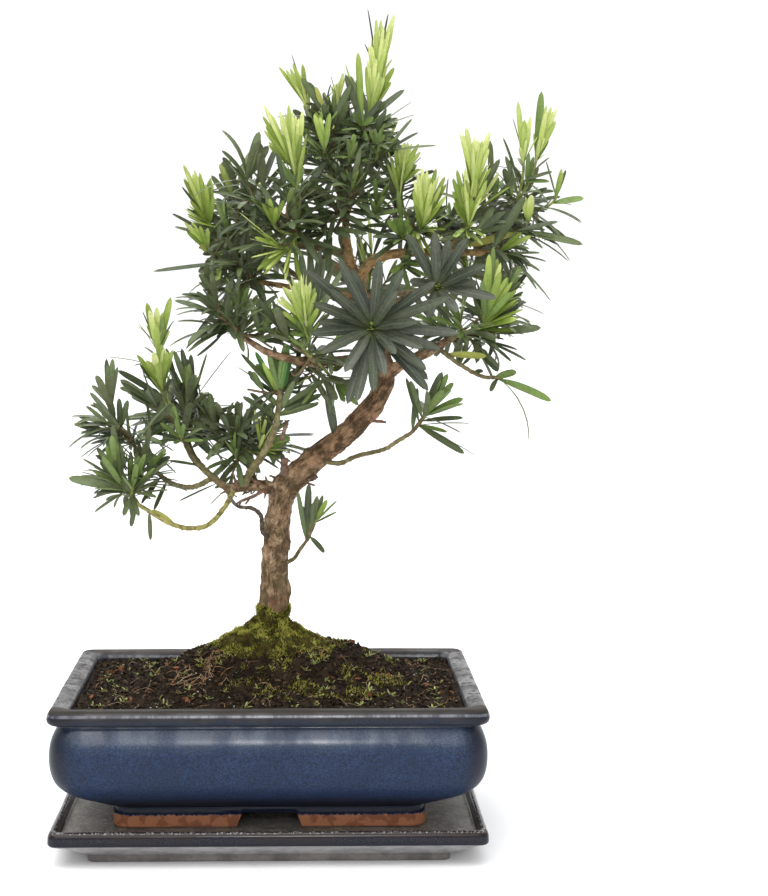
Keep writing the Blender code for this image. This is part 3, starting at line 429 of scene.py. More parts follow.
        Leaf((34, -68, 361), 4.6, "dark", 12, 0.85, (
            (4, -74, 373), (9, -64, 362), (15, -70, 352), (3, -61, 381), (23, -72, 349),
        )),
        Leaf((58, -70, 339), 3.6, "dark", 8, 0.7, ((43, -76, 333), (46, -66, 339),)),
        Leaf((34, -40, 383), 5, "dark", 8, 0.8, ((22, -46, 418), (29, -36, 421), (36, -42, 419),)),
        Leaf((61, -44, 332), 5, "dark", 4, 0.95, ((45, -44, 334),)),
    )),
    "foliage_rosette": Mass("trunk", 364, (
        Shoot(70, -92, 365, (0, -10, 1), "rosette", 1.1),
    ), (
        Leaf((70, -92, 365), 7.3, "dusty", 20, 1, (
            (74, -110, 411), (89, -116, 404), (111, -106, 396), (120, -114, 386), (127, -104, 362),
            (102, -118, 353), (105, -110, 338), (107, -102, 324), (77, -120, 335), (70, -114, 324),
            (59, -108, 317), (53, -102, 315), (36, -116, 350), (28, -108, 362), (30, -114, 382),
            (25, -102, 404), (47, -112, 411), (56, -104, 404), (98, -123, 370), (85, -126, 390),
            (115, -100, 351), (41, -118, 391), (84, -122, 349), (51, -116, 337), (34, -100, 369),
            (107, -98, 331),
        )),
    )),
    "foliage_rosette_right": Mass("trunk", 382, (
        Shoot(114, -76, 392, (0, -10, 1), "rosette", 0.9),
    ), (
        Leaf((114, -76, 392), 7.3, "dusty", 20, 1, (
            (111, -92, 429), (93, -86, 428), (133, -94, 425), (145, -96, 407), (153, -90, 385),
            (94, -100, 396), (122, -82, 424), (141, -84, 395), (126, -98, 376), (107, -92, 372),
        )),
    )),
    "foliage_right_mid": Mass("bough_right_mid", None, (
        Shoot(151, -46, 371, (1, 0, 10), "lush", 0.9),
        Shoot(161, -38, 361, (10, -1, 2), "arched", 0.8),
        Shoot(131, -60, 368, (-4, -4, 8), "green", 0.8),
        Shoot(117, -52, 363, (-6, -5, 6), "old", 0.8),
        Shoot(124, -30, 358, (-2, 5, 8), "old", 0.7),
        Shoot(153, -28, 354, (9, 0, -4), "arched", 0.65),
        Shoot(169, -18, 382, (8, 4, 4), "arched", 0.7),
        Shoot(167, -30, 387, (3, -2, 9), "green", 0.6),
        Shoot(162, 4, 370, (4, 8, 4), "old", 0.7),
    ), (
        Leaf((156, -38, 358), 6.4, "dark", 10, 0.9, ((190, -38, 364),)),
        Leaf((148, -32, 350), 5.5, "dark", 16, 0.7, ((161, -32, 333),)),
        Leaf((152, -50, 378), 4.8, "fresh", 8, 0.85, ((155, -50, 420),)),
        Leaf((154, -50, 378), 4, "young", 8, 0.8, ((160, -50, 409),)),
        Leaf((150, -50, 365), 3.6, "bright", 8, 0.7, (
            (149, -56, 403), (148, -46, 392), (168, -52, 396),
        )),
        Leaf((150, -50, 364), 4.6, "bright", 8, 0.8, ((165, -50, 385),)),
        Leaf((153, -48, 364), 2, "young", 8, 0.4, ((173, -48, 382),)),
        Leaf((151, -46, 363), 5, "dark", 10, 0.8, ((174, -52, 368), (174, -42, 383),)),
        Leaf((164, -30, 412), 2.8, "dark", 18, 0.2, ((198, -30, 382),)),
        Leaf((171, -26, 386), 3.6, "dark", 10, 0.6, ((176, -26, 394),)),
        Leaf((172, -26, 380), 2.4, "dark", 14, 0.3, ((194, -26, 373),)),
        Leaf((152, -52, 375), 5, "bright", 5, 0.95, ((151, -58, 415), (158, -48, 412),)),
        Leaf((153, -52, 371), 5.2, "bright", 5, 0.95, ((159, -58, 403), (155, -48, 404),)),
        Leaf((151, -53, 368), 4.6, "fresh", 6, 0.9, (
            (146, -59, 397), (165, -49, 398), (167, -55, 389),
        )),
        Leaf((171, -26, 365), 3.6, "dark", 8, 0.7, ((178, -32, 389), (176, -22, 383),)),
        Leaf((158, -32, 354), 3.2, "dark", 14, 0.5, (
            (180, -38, 341), (175, -28, 348), (170, -34, 340),
        )),
        Leaf((150, -34, 373), 4, "dark", 10, 0.7, ((130, -40, 385), (133, -30, 378),)),
    )),
    "foliage_right_out": Mass("right_mid_out", None, (
        Shoot(160, -30, 328, (10, 0, 3), "sparse", 1),
    ), (
        Leaf((158, -30, 329), 5.6, "fresh", 4, 0.9, ((174, -30, 333),)),
        Leaf((160, -30, 328), 6, "fresh", 26, 0.8, ((199, -30, 312),)),
        Leaf((162, -30, 326), 3.2, "dark", 60, 0.15, ((183, -30, 283),)),
        Leaf((125, -37, 346), 5.2, "yellow", 6, 0.9, ((152, -37, 344),)),
        Leaf((141, -36, 343), 4.5, "dark", 10, 0.8, ((137, -36, 336),)),
        Leaf((146, -34, 341), 3.6, "dark", 10, 0.8, ((150, -34, 334),)),
    )),
    "foliage_right_high": Mass("right_high_up", None, (
        Shoot(108, -32, 437, (1, 0, 10), "core", 1),
        Shoot(93, -6, 470, (3, 0, 10), "core", 0.8),
        Shoot(90, 4, 451, (2, 3, 9), "old", 0.8),
        Shoot(95, -26, 410, (4, -4, 8), "green", 0.7),
        Shoot(93, -28, 429, (0, -3, 10), "upright", 0.8),
        Shoot(99, 8, 470, (6, 2, 8), "old", 0.45),
        Shoot(121, -12, 431, (2, -1, 10), "old", 0.75),
    ), (
        Leaf((108, -34, 434), 3.5, "young", 6, 0.8, (
            (103, -40, 471), (107, -30, 475), (110, -36, 473), (114, -27, 466),
        )),
        Leaf((108, -34, 434), 3.7, "bright", 6, 0.8, ((116, -40, 474), (123, -30, 469),)),
        Leaf((105, -34, 420), 3.5, "young", 8, 0.8, (
            (100, -40, 459), (103, -30, 443), (113, -36, 448),
        )),
        Leaf((106, -34, 420), 3.2, "bright", 8, 0.7, ((119, -40, 448), (124, -30, 464),)),
        Leaf((92, -8, 469), 3.4, "young", 8, 0.7, ((95, -14, 493), (99, -4, 492), (106, -10, 493),)),
        Leaf((91, -8, 467), 3.2, "bright", 8, 0.7, ((89, -14, 488), (101, -4, 482),)),
        Leaf((107, -34, 430), 3, "young", 4, 0.9, (
            (101, -40, 466), (105, -30, 470), (108, -36, 471), (113, -27, 469), (116, -38, 470),
            (120, -32, 462),
        )),
        Leaf((106, -35, 425), 3.2, "bright", 5, 0.9, (
            (101, -41, 449), (105, -31, 455), (111, -37, 458), (115, -28, 453), (123, -39, 455),
        )),
        Leaf((91, -36, 421), 5.4, "fresh", 6, 0.95, (
            (82, -42, 438), (87, -32, 440), (91, -38, 440), (97, -29, 439), (99, -40, 434),
        )),
        Leaf((96, -8, 469), 3, "young", 5, 0.9, (
            (92, -14, 489), (97, -4, 492), (101, -10, 493), (105, -1, 490), (107, -12, 487),
        )),
        Leaf((94, -8, 463), 3.2, "bright", 8, 0.9, (
            (91, -14, 478), (97, -4, 482), (102, -10, 479), (107, -1, 476),
        )),
        Leaf((96, -24, 423), 4, "dark", 8, 0.7, ((81, -30, 429), (82, -20, 422),)),
        Leaf((94, -22, 410), 4.2, "dark", 6, 0.8, ((107, -22, 399),)),
    )),
    "foliage_right_crook": Mass("right_high_crook", None, (
        Shoot(143, -34, 461, (0, 0, 10), "core", 0.95),
        Shoot(139, -36, 437, (0, -1, 10), "core", 0.75),
        Shoot(157, -8, 451, (2, 1, 10), "old", 0.7),
        Shoot(130, 0, 434, (-1, 4, 9), "old", 0.8),
        Shoot(145, 14, 444, (2, 6, 8), "old", 0.8),
    ), (
        Leaf((154, -16, 457), 4.2, "dark", 6, 0.6, ((156, -16, 494),)),
        Leaf((148, -26, 444), 3.6, "young", -22, 0.4, ((161, -26, 472),)),
        Leaf((139, -18, 460), 3, "young", 12, 0.2, ((134, -18, 500),)),
        Leaf((143, -35, 459), 3.7, "young", 5, 0.8, (
            (136, -41, 502), (143, -31, 496), (148, -37, 493), (154, -28, 500), (145, -39, 486),
        )),
        Leaf((141, -35, 440), 3.5, "young", 6, 0.8, (
            (136, -41, 474), (148, -31, 475), (151, -37, 463), (141, -28, 466),
        )),
        Leaf((138, -35, 430), 3.7, "bright", 8, 0.8, (
            (130, -41, 473), (128, -31, 459), (133, -37, 460), (146, -28, 455),
        )),
        Leaf((143, -36, 461), 3, "young", 4, 0.9, (
            (134, -42, 497), (138, -32, 502), (141, -38, 492), (146, -29, 494), (149, -40, 489),
            (152, -34, 498), (152, -43, 487),
        )),
        Leaf((140, -37, 436), 3.2, "young", 4, 0.9, (
            (136, -43, 464), (141, -33, 469), (144, -39, 467), (149, -30, 470), (151, -41, 466),
        )),
        Leaf((137, -38, 433), 3.9, "bright", 6, 0.95, (
            (127, -44, 467), (131, -34, 463), (134, -40, 462), (129, -31, 451), (141, -42, 455),
        )),
        Leaf((151, -30, 440), 5, "dark", 6, 0.9, ((161, -30, 481),)),
        Leaf((155, -26, 465), 3.2, "dark", 4, 0.7, ((155, -26, 494),)),
        Leaf((159, -30, 433), 6.4, "dark", 8, 0.95, ((178, -36, 455), (170, -26, 453),)),
        Leaf((146, -34, 425), 5.6, "dark", 8, 0.95, ((162, -40, 444), (157, -30, 448),)),
    )),
    "foliage_right_tip": Mass("right_high_tip", None, (
        Shoot(181, 0, 484, (-1, 0, 10), "sprout", 0.4),
        Shoot(192, 8, 485, (2, 0, 10), "sprout", 0.4),
        Shoot(172, -6, 456, (-1, 0, 10), "old", 0.65),
        Shoot(205, -4, 458, (2, 0, 10), "green", 0.55),
        Shoot(190, 6, 446, (9, 3, 0), "arched", 0.8),
        Shoot(188, 24, 451, (4, 7, 6), "old", 0.6),
    ), (
        Leaf((189, 4, 482), 5.6, "fresh", 4, 0.95, ((194, 4, 531),)),
        Leaf((201, -4, 450), 5.6, "fresh", 8, 0.7, ((224, -4, 455),)),
        Leaf((197, -4, 447), 3.4, "dark", 24, 0.2, ((223, -4, 437),)),
        Leaf((187, 0, 467), 4.4, "dark", 6, 0.5, ((202, 0, 474),)),
        Leaf((185, 0, 465), 4.6, "fresh", 6, 0.6, ((200, 0, 467),)),
        Leaf((188, 2, 474), 3.6, "dark", 8, 0.4, ((200, 2, 484),)),
        Leaf((181, -2, 461), 3.4, "dark", 14, 0.3, ((166, -2, 498),)),
        Leaf((182, 0, 479), 3.9, "young", 4, 0.85, ((176, -6, 523), (182, 4, 511),)),
        Leaf((183, 0, 482), 3, "young", 4, 0.7, ((186, 0, 513),)),
        Leaf((192, 6, 484), 3, "young", 5, 0.8, (
            (197, 0, 521), (202, 10, 521), (205, 4, 519), (197, 13, 510),
        )),
        Leaf((191, 4, 480), 3, "bright", 10, 0.6, ((196, -2, 486), (200, 8, 497),)),
        Leaf((177, -2, 457), 4, "dark", 6, 0.7, ((168, -2, 485),)),
        Leaf((204, -4, 454), 2.7, "bright", 4, 0.6, ((208, -4, 476),)),
        Leaf((205, -4, 454), 2.4, "dark", 4, 0.6, ((211, -4, 475),)),
        Leaf((200, 0, 457), 1.8, "dark", 4, 0.3, ((197, 0, 482),)),
        Leaf((179, 0, 489), 1, "dusty", 6, 0.3, ((173, 0, 512),)),
        Leaf((182, 0, 482), 3.5, "young", 4, 0.9, ((180, -6, 506), (184, 4, 509), (185, -2, 504),)),
        Leaf((192, 4, 485), 3.9, "young", 4, 0.9, ((197, -2, 517), (203, 8, 517), (204, 2, 510),)),
        Leaf((183, -10, 444), 5.4, "young", 8, 0.95, ((185, -16, 457), (181, -6, 456),)),
        Leaf((207, -2, 454), 3, "bright", 4, 0.8, ((208, -8, 473), (206, 2, 464),)),
        Leaf((186, 0, 462), 3.4, "fresh", 6, 0.8, ((184, -6, 487), (189, 4, 485),)),
    )),
    "foliage_right_far": Mass("bough_right_high", None, (
        Shoot(177, -14, 431, (10, -1, -2), "arched", 0.55),
        Shoot(168, -22, 415, (10, 0, -2), "arched", 0.55),
        Shoot(168, 14, 414, (9, 4, -2), "arched", 0.45),
        Shoot(169, 10, 424, (8, 6, 1), "arched", 0.5),
    ), (
        Leaf((192, -10, 427), 3.2, "dark", 30, 0.15, ((214, -10, 410),)),
        Leaf((173, -20, 409), 3.4, "dark", 14, 0.2, ((199, -20, 382),)),
        Leaf((183, -22, 433), 6, "yellow", 8, 0.95, ((141, -22, 421),)),
        Leaf((176, -16, 432), 6.6, "dark", 14, 0.75, ((222, -16, 422),)),
        Leaf((168, -18, 435), 4.2, "dark", 10, 0.7, ((204, -18, 438),)),
        Leaf((197, -8, 447), 3, "dark", 30, 0.4, ((222, -8, 438),)),
        Leaf((180, -14, 425), 3.2, "dark", 24, 0.4, ((193, -20, 419), (213, -10, 410),)),
        Leaf((174, -16, 415), 3, "dark", 14, 0.5, ((191, -22, 416), (197, -12, 410),)),
        Leaf((174, -18, 407), 3, "dark", 18, 0.5, ((191, -24, 403), (190, -14, 390),)),
        Leaf((167, -22, 425), 4, "bright", 10, 0.8, ((177, -28, 430), (185, -18, 428),)),
    )),
    "foliage_back": Mass("bough_back", None, (
        Shoot(62, 96, 404, (-2, 6, 7), "old", 1),
        Shoot(88, 96, 396, (4, 6, 7), "old", 1),
        Shoot(76, 86, 414, (0, 4, 9), "bundle", 1),
        Shoot(72, 104, 380, (1, 10, 3), "old", 1),
    ), ()),
    "foliage_back_left": Mass("bough_back_left", None, (
        Shoot(-16, 80, 430, (-4, 5, 8), "old", 1),
        Shoot(6, 90, 426, (1, 7, 7), "old", 1),
        Shoot(-4, 70, 440, (-1, 2, 10), "bundle", 0.95),
        Shoot(-26, 66, 412, (-8, 4, 4), "old", 0.95),
    ), ()),
    "foliage_back_right": Mass("bough_back_right", None, (
        Shoot(164, 66, 416, (5, 5, 7), "old", 0.95),
        Shoot(150, 78, 404, (2, 8, 6), "old", 1),
        Shoot(142, 54, 424, (0, 2, 10), "bundle", 0.9),
        Shoot(172, 52, 398, (8, 4, 4), "upright", 0.85),
    ), ()),
    "foliage_low_rise": Mass("low_left_rise", None, (
        Shoot(6, -51, 323, (-1, -1, 10), "green", 0.7),
        Shoot(13, -44, 323, (3, -1, 9), "upright", 0.75),
        Shoot(-4, -58, 322, (-6, -1, 8), "old", 0.45),
    ), (
        Leaf((5, -50, 319), 4, "vivid", 8, 0.8, ((-9, -50, 348),)),
        Leaf((6, -50, 320), 4.6, "fresh", 6, 0.9, ((12, -56, 354), (-4, -46, 339), (9, -52, 338),)),
        Leaf((5, -50, 317), 3.8, "dark", 8, 0.6, ((-19, -56, 347), (-13, -46, 330),)),
        Leaf((6, -50, 317), 2, "dark", 8, 0.3, ((-22, -54, 338), (29, -47, 349), (19, -51, 334),)),
        Leaf((9, -46, 304), 4.8, "dark", 8, 0.95, ((18, -52, 328), (37, -42, 318),)),
        Leaf((11, -46, 303), 1.8, "yellow", 6, 0.4, ((36, -46, 313),)),
        Leaf((20, -44, 315), 2, "young", -20, 0.4, ((30, -48, 332), (19, -41, 327),)),
        Leaf((1, -46, 317), 3.8, "dark", 6, 0.8, ((-12, -46, 300),)),
        Leaf((2, -44, 297), 2, "dark", 6, 0.4, ((0, -48, 313), (-6, -41, 304),)),
        Leaf((6, -52, 315), 4.2, "fresh", 6, 0.95, (
            (0, -58, 348), (4, -48, 352), (9, -54, 345), (15, -45, 341),
        )),
        Leaf((5, -52, 316), 3.6, "bright", 6, 0.9, ((-4, -58, 341), (2, -48, 342),)),
        Leaf((10, -48, 307), 4.2, "dark", 8, 0.9, ((41, -54, 330), (34, -44, 321), (22, -50, 334),)),
        Leaf((7, -50, 319), 4, "vivid", 6, 0.9, ((14, -56, 352), (16, -46, 345),)),
        Leaf((5, -46, 311), 4.6, "dark", 8, 0.9, ((-4, -52, 320), (19, -42, 313),)),
        Leaf((10, -48, 302), 4.4, "dark", 6, 0.8, ((35, -48, 312),)),
        Leaf((-5, -44, 304), 4.2, "dark", 6, 0.8, ((-18, -50, 317), (-13, -40, 319),)),
    )),
    "foliage_low_inner": Mass("low_left_inner", None, (
        Shoot(-22, 8, 289, (2, 0, 10), "broad", 0.9),
        Shoot(-40, -2, 293, (-1, 0, 10), "broad", 0.8),
        Shoot(-10, 12, 286, (4, 2, 9), "old", 0.8),
        Shoot(-7, -14, 281, (-2, -1, 10), "bundle", 0.55),
        Shoot(9, 10, 277, (10, -2, 2), "old", 0.7),
        Shoot(-32, -10, 286, (-9, -3, 0), "arched", 0.6),
        Shoot(-19, 34, 282, (2, 7, 7), "old", 0.85),
        Shoot(-24, -16, 271, (-2, -2, 9), "old", 0.6),
    ), (
        Leaf((0, -20, 268), 8.5, "fresh", 14, 0.95, ((15, -24, 286),)),
        Leaf((12, -18, 282), 3.4, "dark", 12, 0.2, ((33, -18, 288),)),
        Leaf((-46, -16, 264), 3, "dark", 10, 0.5, ((-72, -16, 269),)),
        Leaf((-38, -18, 251), 2.2, "dark", 4, 0.4, ((-65, -18, 240),)),
        Leaf((-30, -18, 249), 1.6, "dark", 4, 0.4, ((-43, -18, 237),)),
        Leaf((10, -16, 279), 2.6, "dark", 8, 0.4, ((32, -16, 287),)),
        Leaf((9, -16, 268), 2.4, "dark", 6, 0.5, ((-9, -16, 261),)),
        Leaf((-69, -40, 276), 3.6, "dark", 6, 0.7, ((-85, -46, 284), (-83, -36, 276),)),
    )),
    "foliage_low_mid": Mass("low_left_out", None, (
        Shoot(-78, 4, 322, (-1, -1, 10), "lush", 0.5),
        Shoot(-81, 12, 350, (0, 0, 10), "lush", 0.45),
        Shoot(-59, 0, 313, (1, 0, 10), "old", 1),
        Shoot(-82, -16, 309, (-8, -1, 6), "broad", 0.9),
        Shoot(-51, 10, 297, (2, 2, 10), "old", 0.85),
        Shoot(-63, -30, 289, (-2, -2, 10), "green", 0.55),
        Shoot(-77, 20, 303, (-5, 7, 6), "old", 0.7),
    ), (
        Leaf((-86, 0, 336), 3.6, "dark", 22, 0.2, ((-116, 0, 342),)),
        Leaf((-47, 8, 324), 2.8, "dark", 4, 0.2, ((-27, 8, 347),)),
        Leaf((-85, 10, 350), 2.8, "young", 6, 0.2, ((-96, 10, 365),)),
        Leaf((-75, 12, 354), 2.8, "dark", 6, 0.2, ((-69, 12, 368),)),
        Leaf((-81, 10, 344), 5, "bright", 8, 0.9, ((-88, 4, 381), (-83, 14, 370), (-71, 8, 385),)),
        Leaf((-80, 10, 345), 3.6, "fresh", 8, 0.7, ((-76, 4, 371), (-80, 14, 367),)),
        Leaf((-81, 10, 344), 1.3, "dusty", 12, 0.3, ((-95, 7, 367), (-92, 12, 375), (-69, 9, 368),)),
        Leaf((-78, 4, 320), 5.4, "young", 8, 0.9, ((-83, -2, 346), (-76, 8, 348),)),
        Leaf((-78, 4, 320), 3.8, "bright", 14, 0.7, ((-95, -2, 344), (-70, 8, 347), (-89, 2, 338),)),
        Leaf((-76, -4, 314), 5, "dark", 12, 0.8, ((-108, -10, 333), (-108, 0, 320),)),
        Leaf((-62, -30, 284), 3.8, "fresh", 6, 0.9, ((-65, -36, 301), (-60, -26, 296),)),
        Leaf((-50, 6, 318), 2.2, "dark", 6, 0.4, ((-45, 6, 345),)),
        Leaf((-81, 8, 345), 4.6, "young", 5, 0.95, ((-86, 2, 376), (-77, 12, 374), (-81, 6, 378),)),
        Leaf((-77, 2, 321), 4.8, "bright", 6, 0.95, (
            (-88, -4, 340), (-83, 6, 344), (-73, 0, 346), (-78, 9, 351),
        )),
        Leaf((-80, 0, 316), 3.6, "dark", 6, 0.7, ((-93, 0, 337),)),
        Leaf((-64, 10, 315), 4.6, "dark", 8, 0.8, ((-69, 4, 347), (-64, 14, 348), (-57, 8, 344),)),
    )),
    "foliage_low_end": Mass("low_left_loop_end", None, (
        Shoot(-100, -76, 261, (-1, -1, 10), "stout", 0.7),
        Shoot(-104, -66, 258, (-10, 0, 1), "arched", 0.85),
        Shoot(-91, -80, 260, (2, -2, 10), "stout", 0.5),
        Shoot(-83, -56, 265, (5, 2, 8), "old", 0.8),
        Shoot(-101, -58, 257, (-10, 2, -1), "arched", 0.7),
    ), (
        Leaf((-102, -72, 255), 6.6, "dark", 6, 0.9, ((-136, -72, 263),)),
        Leaf((-101, -70, 252), 3.8, "dark", 10, 0.4, ((-119, -70, 239),)),
        Leaf((-90, -70, 245), 4, "dark", 6, 0.5, ((-94, -70, 229),)),
        Leaf((-80, -66, 239), 3.2, "dark", 12, 0.3, ((-81, -66, 219),)),
        Leaf((-71, -60, 231), 5.5, "yellow", 14, 0.95, ((-81, -62, 239),)),
        Leaf((-96, -76, 249), 5.4, "dark", 8, 0.95, ((-104, -82, 276), (-88, -72, 272),)),
        Leaf((-95, -76, 252), 3.6, "dark", 8, 0.8, ((-93, -76, 282),)),
        Leaf((-99, -72, 263), 5, "dark", 8, 0.9, (
            (-105, -78, 300), (-110, -68, 291), (-100, -74, 286),
        )),
        Leaf((-108, -66, 268), 3.8, "dark", 8, 0.6, ((-115, -66, 274),)),
        Leaf((-66, -60, 254), 3.2, "dark", 8, 0.5, ((-79, -60, 239),)),
        Leaf((-64, -50, 272), 3.2, "dark", 24, 0.5, ((-88, -56, 243), (-85, -46, 245),)),
    )),
    "foliage_low_far": Mass("low_left_far", None, (
        Shoot(-110, -40, 312, (-1, 0, 10), "broad", 0.75),
        Shoot(-108, -52, 297, (-10, 0, 1), "arched", 0.7),
        Shoot(-106, -46, 289, (-10, 0, 0), "arched", 0.7),
        Shoot(-84, -30, 288, (8, 3, 4), "old", 0.8),
    ), (
        Leaf((-103, -44, 304), 4.4, "dark", 14, 0.3, ((-124, -44, 311),)),
        Leaf((-100, -46, 302), 4.2, "dark", 18, 0.25, ((-137, -46, 303),)),
        Leaf((-109, -42, 311), 4.4, "dark", 6, 0.5, ((-108, -42, 343),)),
        Leaf((-110, -46, 288), 4, "dark", 4, 0.6, ((-131, -46, 300),)),
        Leaf((-109, -46, 280), 4.4, "dark", 4, 0.6, ((-135, -46, 298),)),
        Leaf((-117, -46, 288), 1.9, "dark", 20, 0.3, ((-131, -50, 274), (-127, -43, 274),)),
        Leaf((-110, -42, 313), 4.4, "dark", 6, 0.7, ((-120, -42, 331),)),
        Leaf((-99, -44, 297), 4.2, "dark", 6, 0.8, ((-103, -50, 316), (-98, -40, 314),)),
    )),
    "foliage_low_back": Mass("low_left_back", None, (
        Shoot(-76, 46, 298, (-6, 5, 7), "old", 1),
        Shoot(-52, 52, 299, (3, 6, 7), "old", 0.8),
        Shoot(-64, 40, 310, (-1, 3, 9), "old", 0.9),
    ), ()),
    "foliage_low_sprig": Mass("right_low_sprig", None, (
        Shoot(33, -26, 228, (2, 0, 10), "bare", 1),
    ), (
        Leaf((25, -26, 211), 5.2, "dark", 5, 0.95, ((28, -26, 254),)),
        Leaf((28, -26, 218), 4.6, "dark", 6, 0.9, ((34, -26, 245),)),
        Leaf((24, -26, 210), 3.6, "dark", 6, 0.7, ((20, -32, 249), (24, -22, 237),)),
        Leaf((30, -26, 222), 3.6, "dark", 6, 0.7, ((31, -32, 241), (38, -22, 245),)),
        Leaf((32, -26, 225), 3.8, "bright", 6, 0.9, ((41, -26, 242),)),
        Leaf((32, -26, 225), 2.2, "fresh", 6, 0.5, ((48, -30, 242), (48, -23, 233),)),
        Leaf((27, -26, 216), 4, "dark", 28, 0.7, ((39, -26, 204),)),
    )),
    "foliage_low_twig": Mass("right_low_twig", None, (
        Shoot(110, -52, 306, (5, -1, 8), "stout", 0.85),
    ), (
        Leaf((108, -50, 299), 4.4, "dark", 10, 0.6, ((135, -50, 302),)),
        Leaf((105, -50, 296), 2.8, "dark", 10, 0.15, ((140, -50, 298),)),
        Leaf((108, -50, 293), 5.4, "dark", 8, 0.8, ((136, -50, 277),)),
        Leaf((111, -49, 292), 2.8, "dark", 8, 0.15, ((145, -49, 275),)),
        Leaf((110, -49, 293), 4.2, "fresh", 6, 0.5, ((124, -49, 292),)),
        Leaf((99, -50, 293), 4, "dark", 10, 0.4, ((103, -50, 323),)),
        Leaf((104, -50, 298), 3.8, "dark", 10, 0.4, ((95, -50, 330),)),
        Leaf((108, -52, 301), 6, "dark", 8, 0.9, ((120, -52, 334),)),
        Leaf((103, -50, 303), 4.2, "dark", 8, 0.7, ((98, -50, 328),)),
    )),
}

# A whorl: its leaves' tint, how many, how far below the shoot's end it starts and stops, their
# length and width, how far the first and last lean away from the shoot, and how much they arch.
Whorl = namedtuple("Whorl", "tint count start stop length width low high arch")
HABITS = {
    "old": (Whorl("dark", 13, 32, 1, 44, 5.3, 82, 24, 34), Whorl("fresh", 4, 3, 0, 25, 4.4, 24, 8, 10)),
    "arched": (Whorl("dark", 14, 34, 0, 44, 4.8, 80, 20, 48),),
    "broad": (Whorl("dark", 11, 16, 0, 38, 6.4, 52, 8, 12),),
    "upright": (Whorl("dark", 6, 24, 9, 44, 5, 66, 34, 16), Whorl("fresh", 9, 8, 0, 36, 5.2, 28, 3, 8)),
    "stout": (Whorl("dark", 3, 26, 14, 40, 5, 80, 60, 20), Whorl("fresh", 10, 12, 0, 38, 6.2, 34, 3, 8)),
    "green": (Whorl("dark", 4, 20, 12, 36, 5, 84, 60, 24), Whorl("fresh", 10, 12, 0, 30, 5, 50, 6, 12)),
    "bundle": (
        Whorl("dark", 5, 38, 26, 44, 5, 74, 46, 24), Whorl("bright", 7, 26, 12, 38, 3.4, 34, 16, 10),
        Whorl("young", 12, 20, 0, 42, 3, 24, 2, 4),
    ),
    "core": (
        Whorl("dark", 4, 38, 28, 44, 5, 74, 50, 24), Whorl("bright", 7, 28, 10, 38, 3.2, 30, 12, 8),
        Whorl("young", 11, 20, 0, 42, 2.9, 22, 2, 4),
    ),
    "tuft": (Whorl("bright", 8, 38, 16, 36, 3.4, 28, 12, 6), Whorl("young", 14, 34, 0, 38, 3, 18, 2, 4)),
    "sprout": (Whorl("dark", 3, 26, 18, 40, 4.6, 70, 46, 20), Whorl("young", 8, 12, 0, 34, 3.8, 26, 3, 4)),
    "lush": (
        Whorl("dark", 3, 28, 20, 38, 4.8, 78, 50, 20), Whorl("bright", 6, 18, 8, 34, 5.6, 32, 14, 8),
        Whorl("bright", 6, 10, 0, 34, 5.4, 20, 2, 6),
    ),
    "rosette": (Whorl("bright", 6, 1, 0, 8, 2.6, 44, 15, 10),),
    "sparse": (Whorl("dark", 3, 16, 0, 32, 4.4, 70, 30, 30),),
    "side": (Whorl("dark", 9, 18, 0, 36, 4.8, 82, 20, 30),),
    "bare": (),
}
# How many side shoots a shoot's twig bears, and which shoots have green twigs.
SIDE_SHOOTS = {"old": 1, "arched": 1, "bundle": 1, "core": 1}
GREEN_TWIGS = ("upright", "stout", "green", "bundle", "core", "tuft", "sprout", "lush", "bare")
STEM_REACH = 0.45
LONE_STEM_REACH = 0.8
# How far the leaves of a level shoot are brought to one plane.
FLATTEN = 0.6
TWIG_THICK = 1.5 * MM
TWIG_THIN = 0.8 * MM
LEAF_RINGS = (0.0, 0.07, 0.2, 0.36, 0.54, 0.7, 0.84, 0.94)
LEAF_HALF = (0.2, 0.3, 0.7, 0.93, 1.0, 0.98, 0.86, 0.58)
# Young leaves are slimmer at the foot and widest past the middle.
LANCE_HALF = (0.3, 0.42, 0.68, 0.88, 1.0, 1.0, 0.88, 0.58)
LANCE_TINTS = ("young", "bright")
# How far a leaf on a level shoot turns its face outwards, to the light.
OUTWARD = 0.55
BACK_HALF = 15 * MM
# The place from which the crown's outline was taken.
EYE = Vector((21.8, -1285.3, 397.9)) * MM
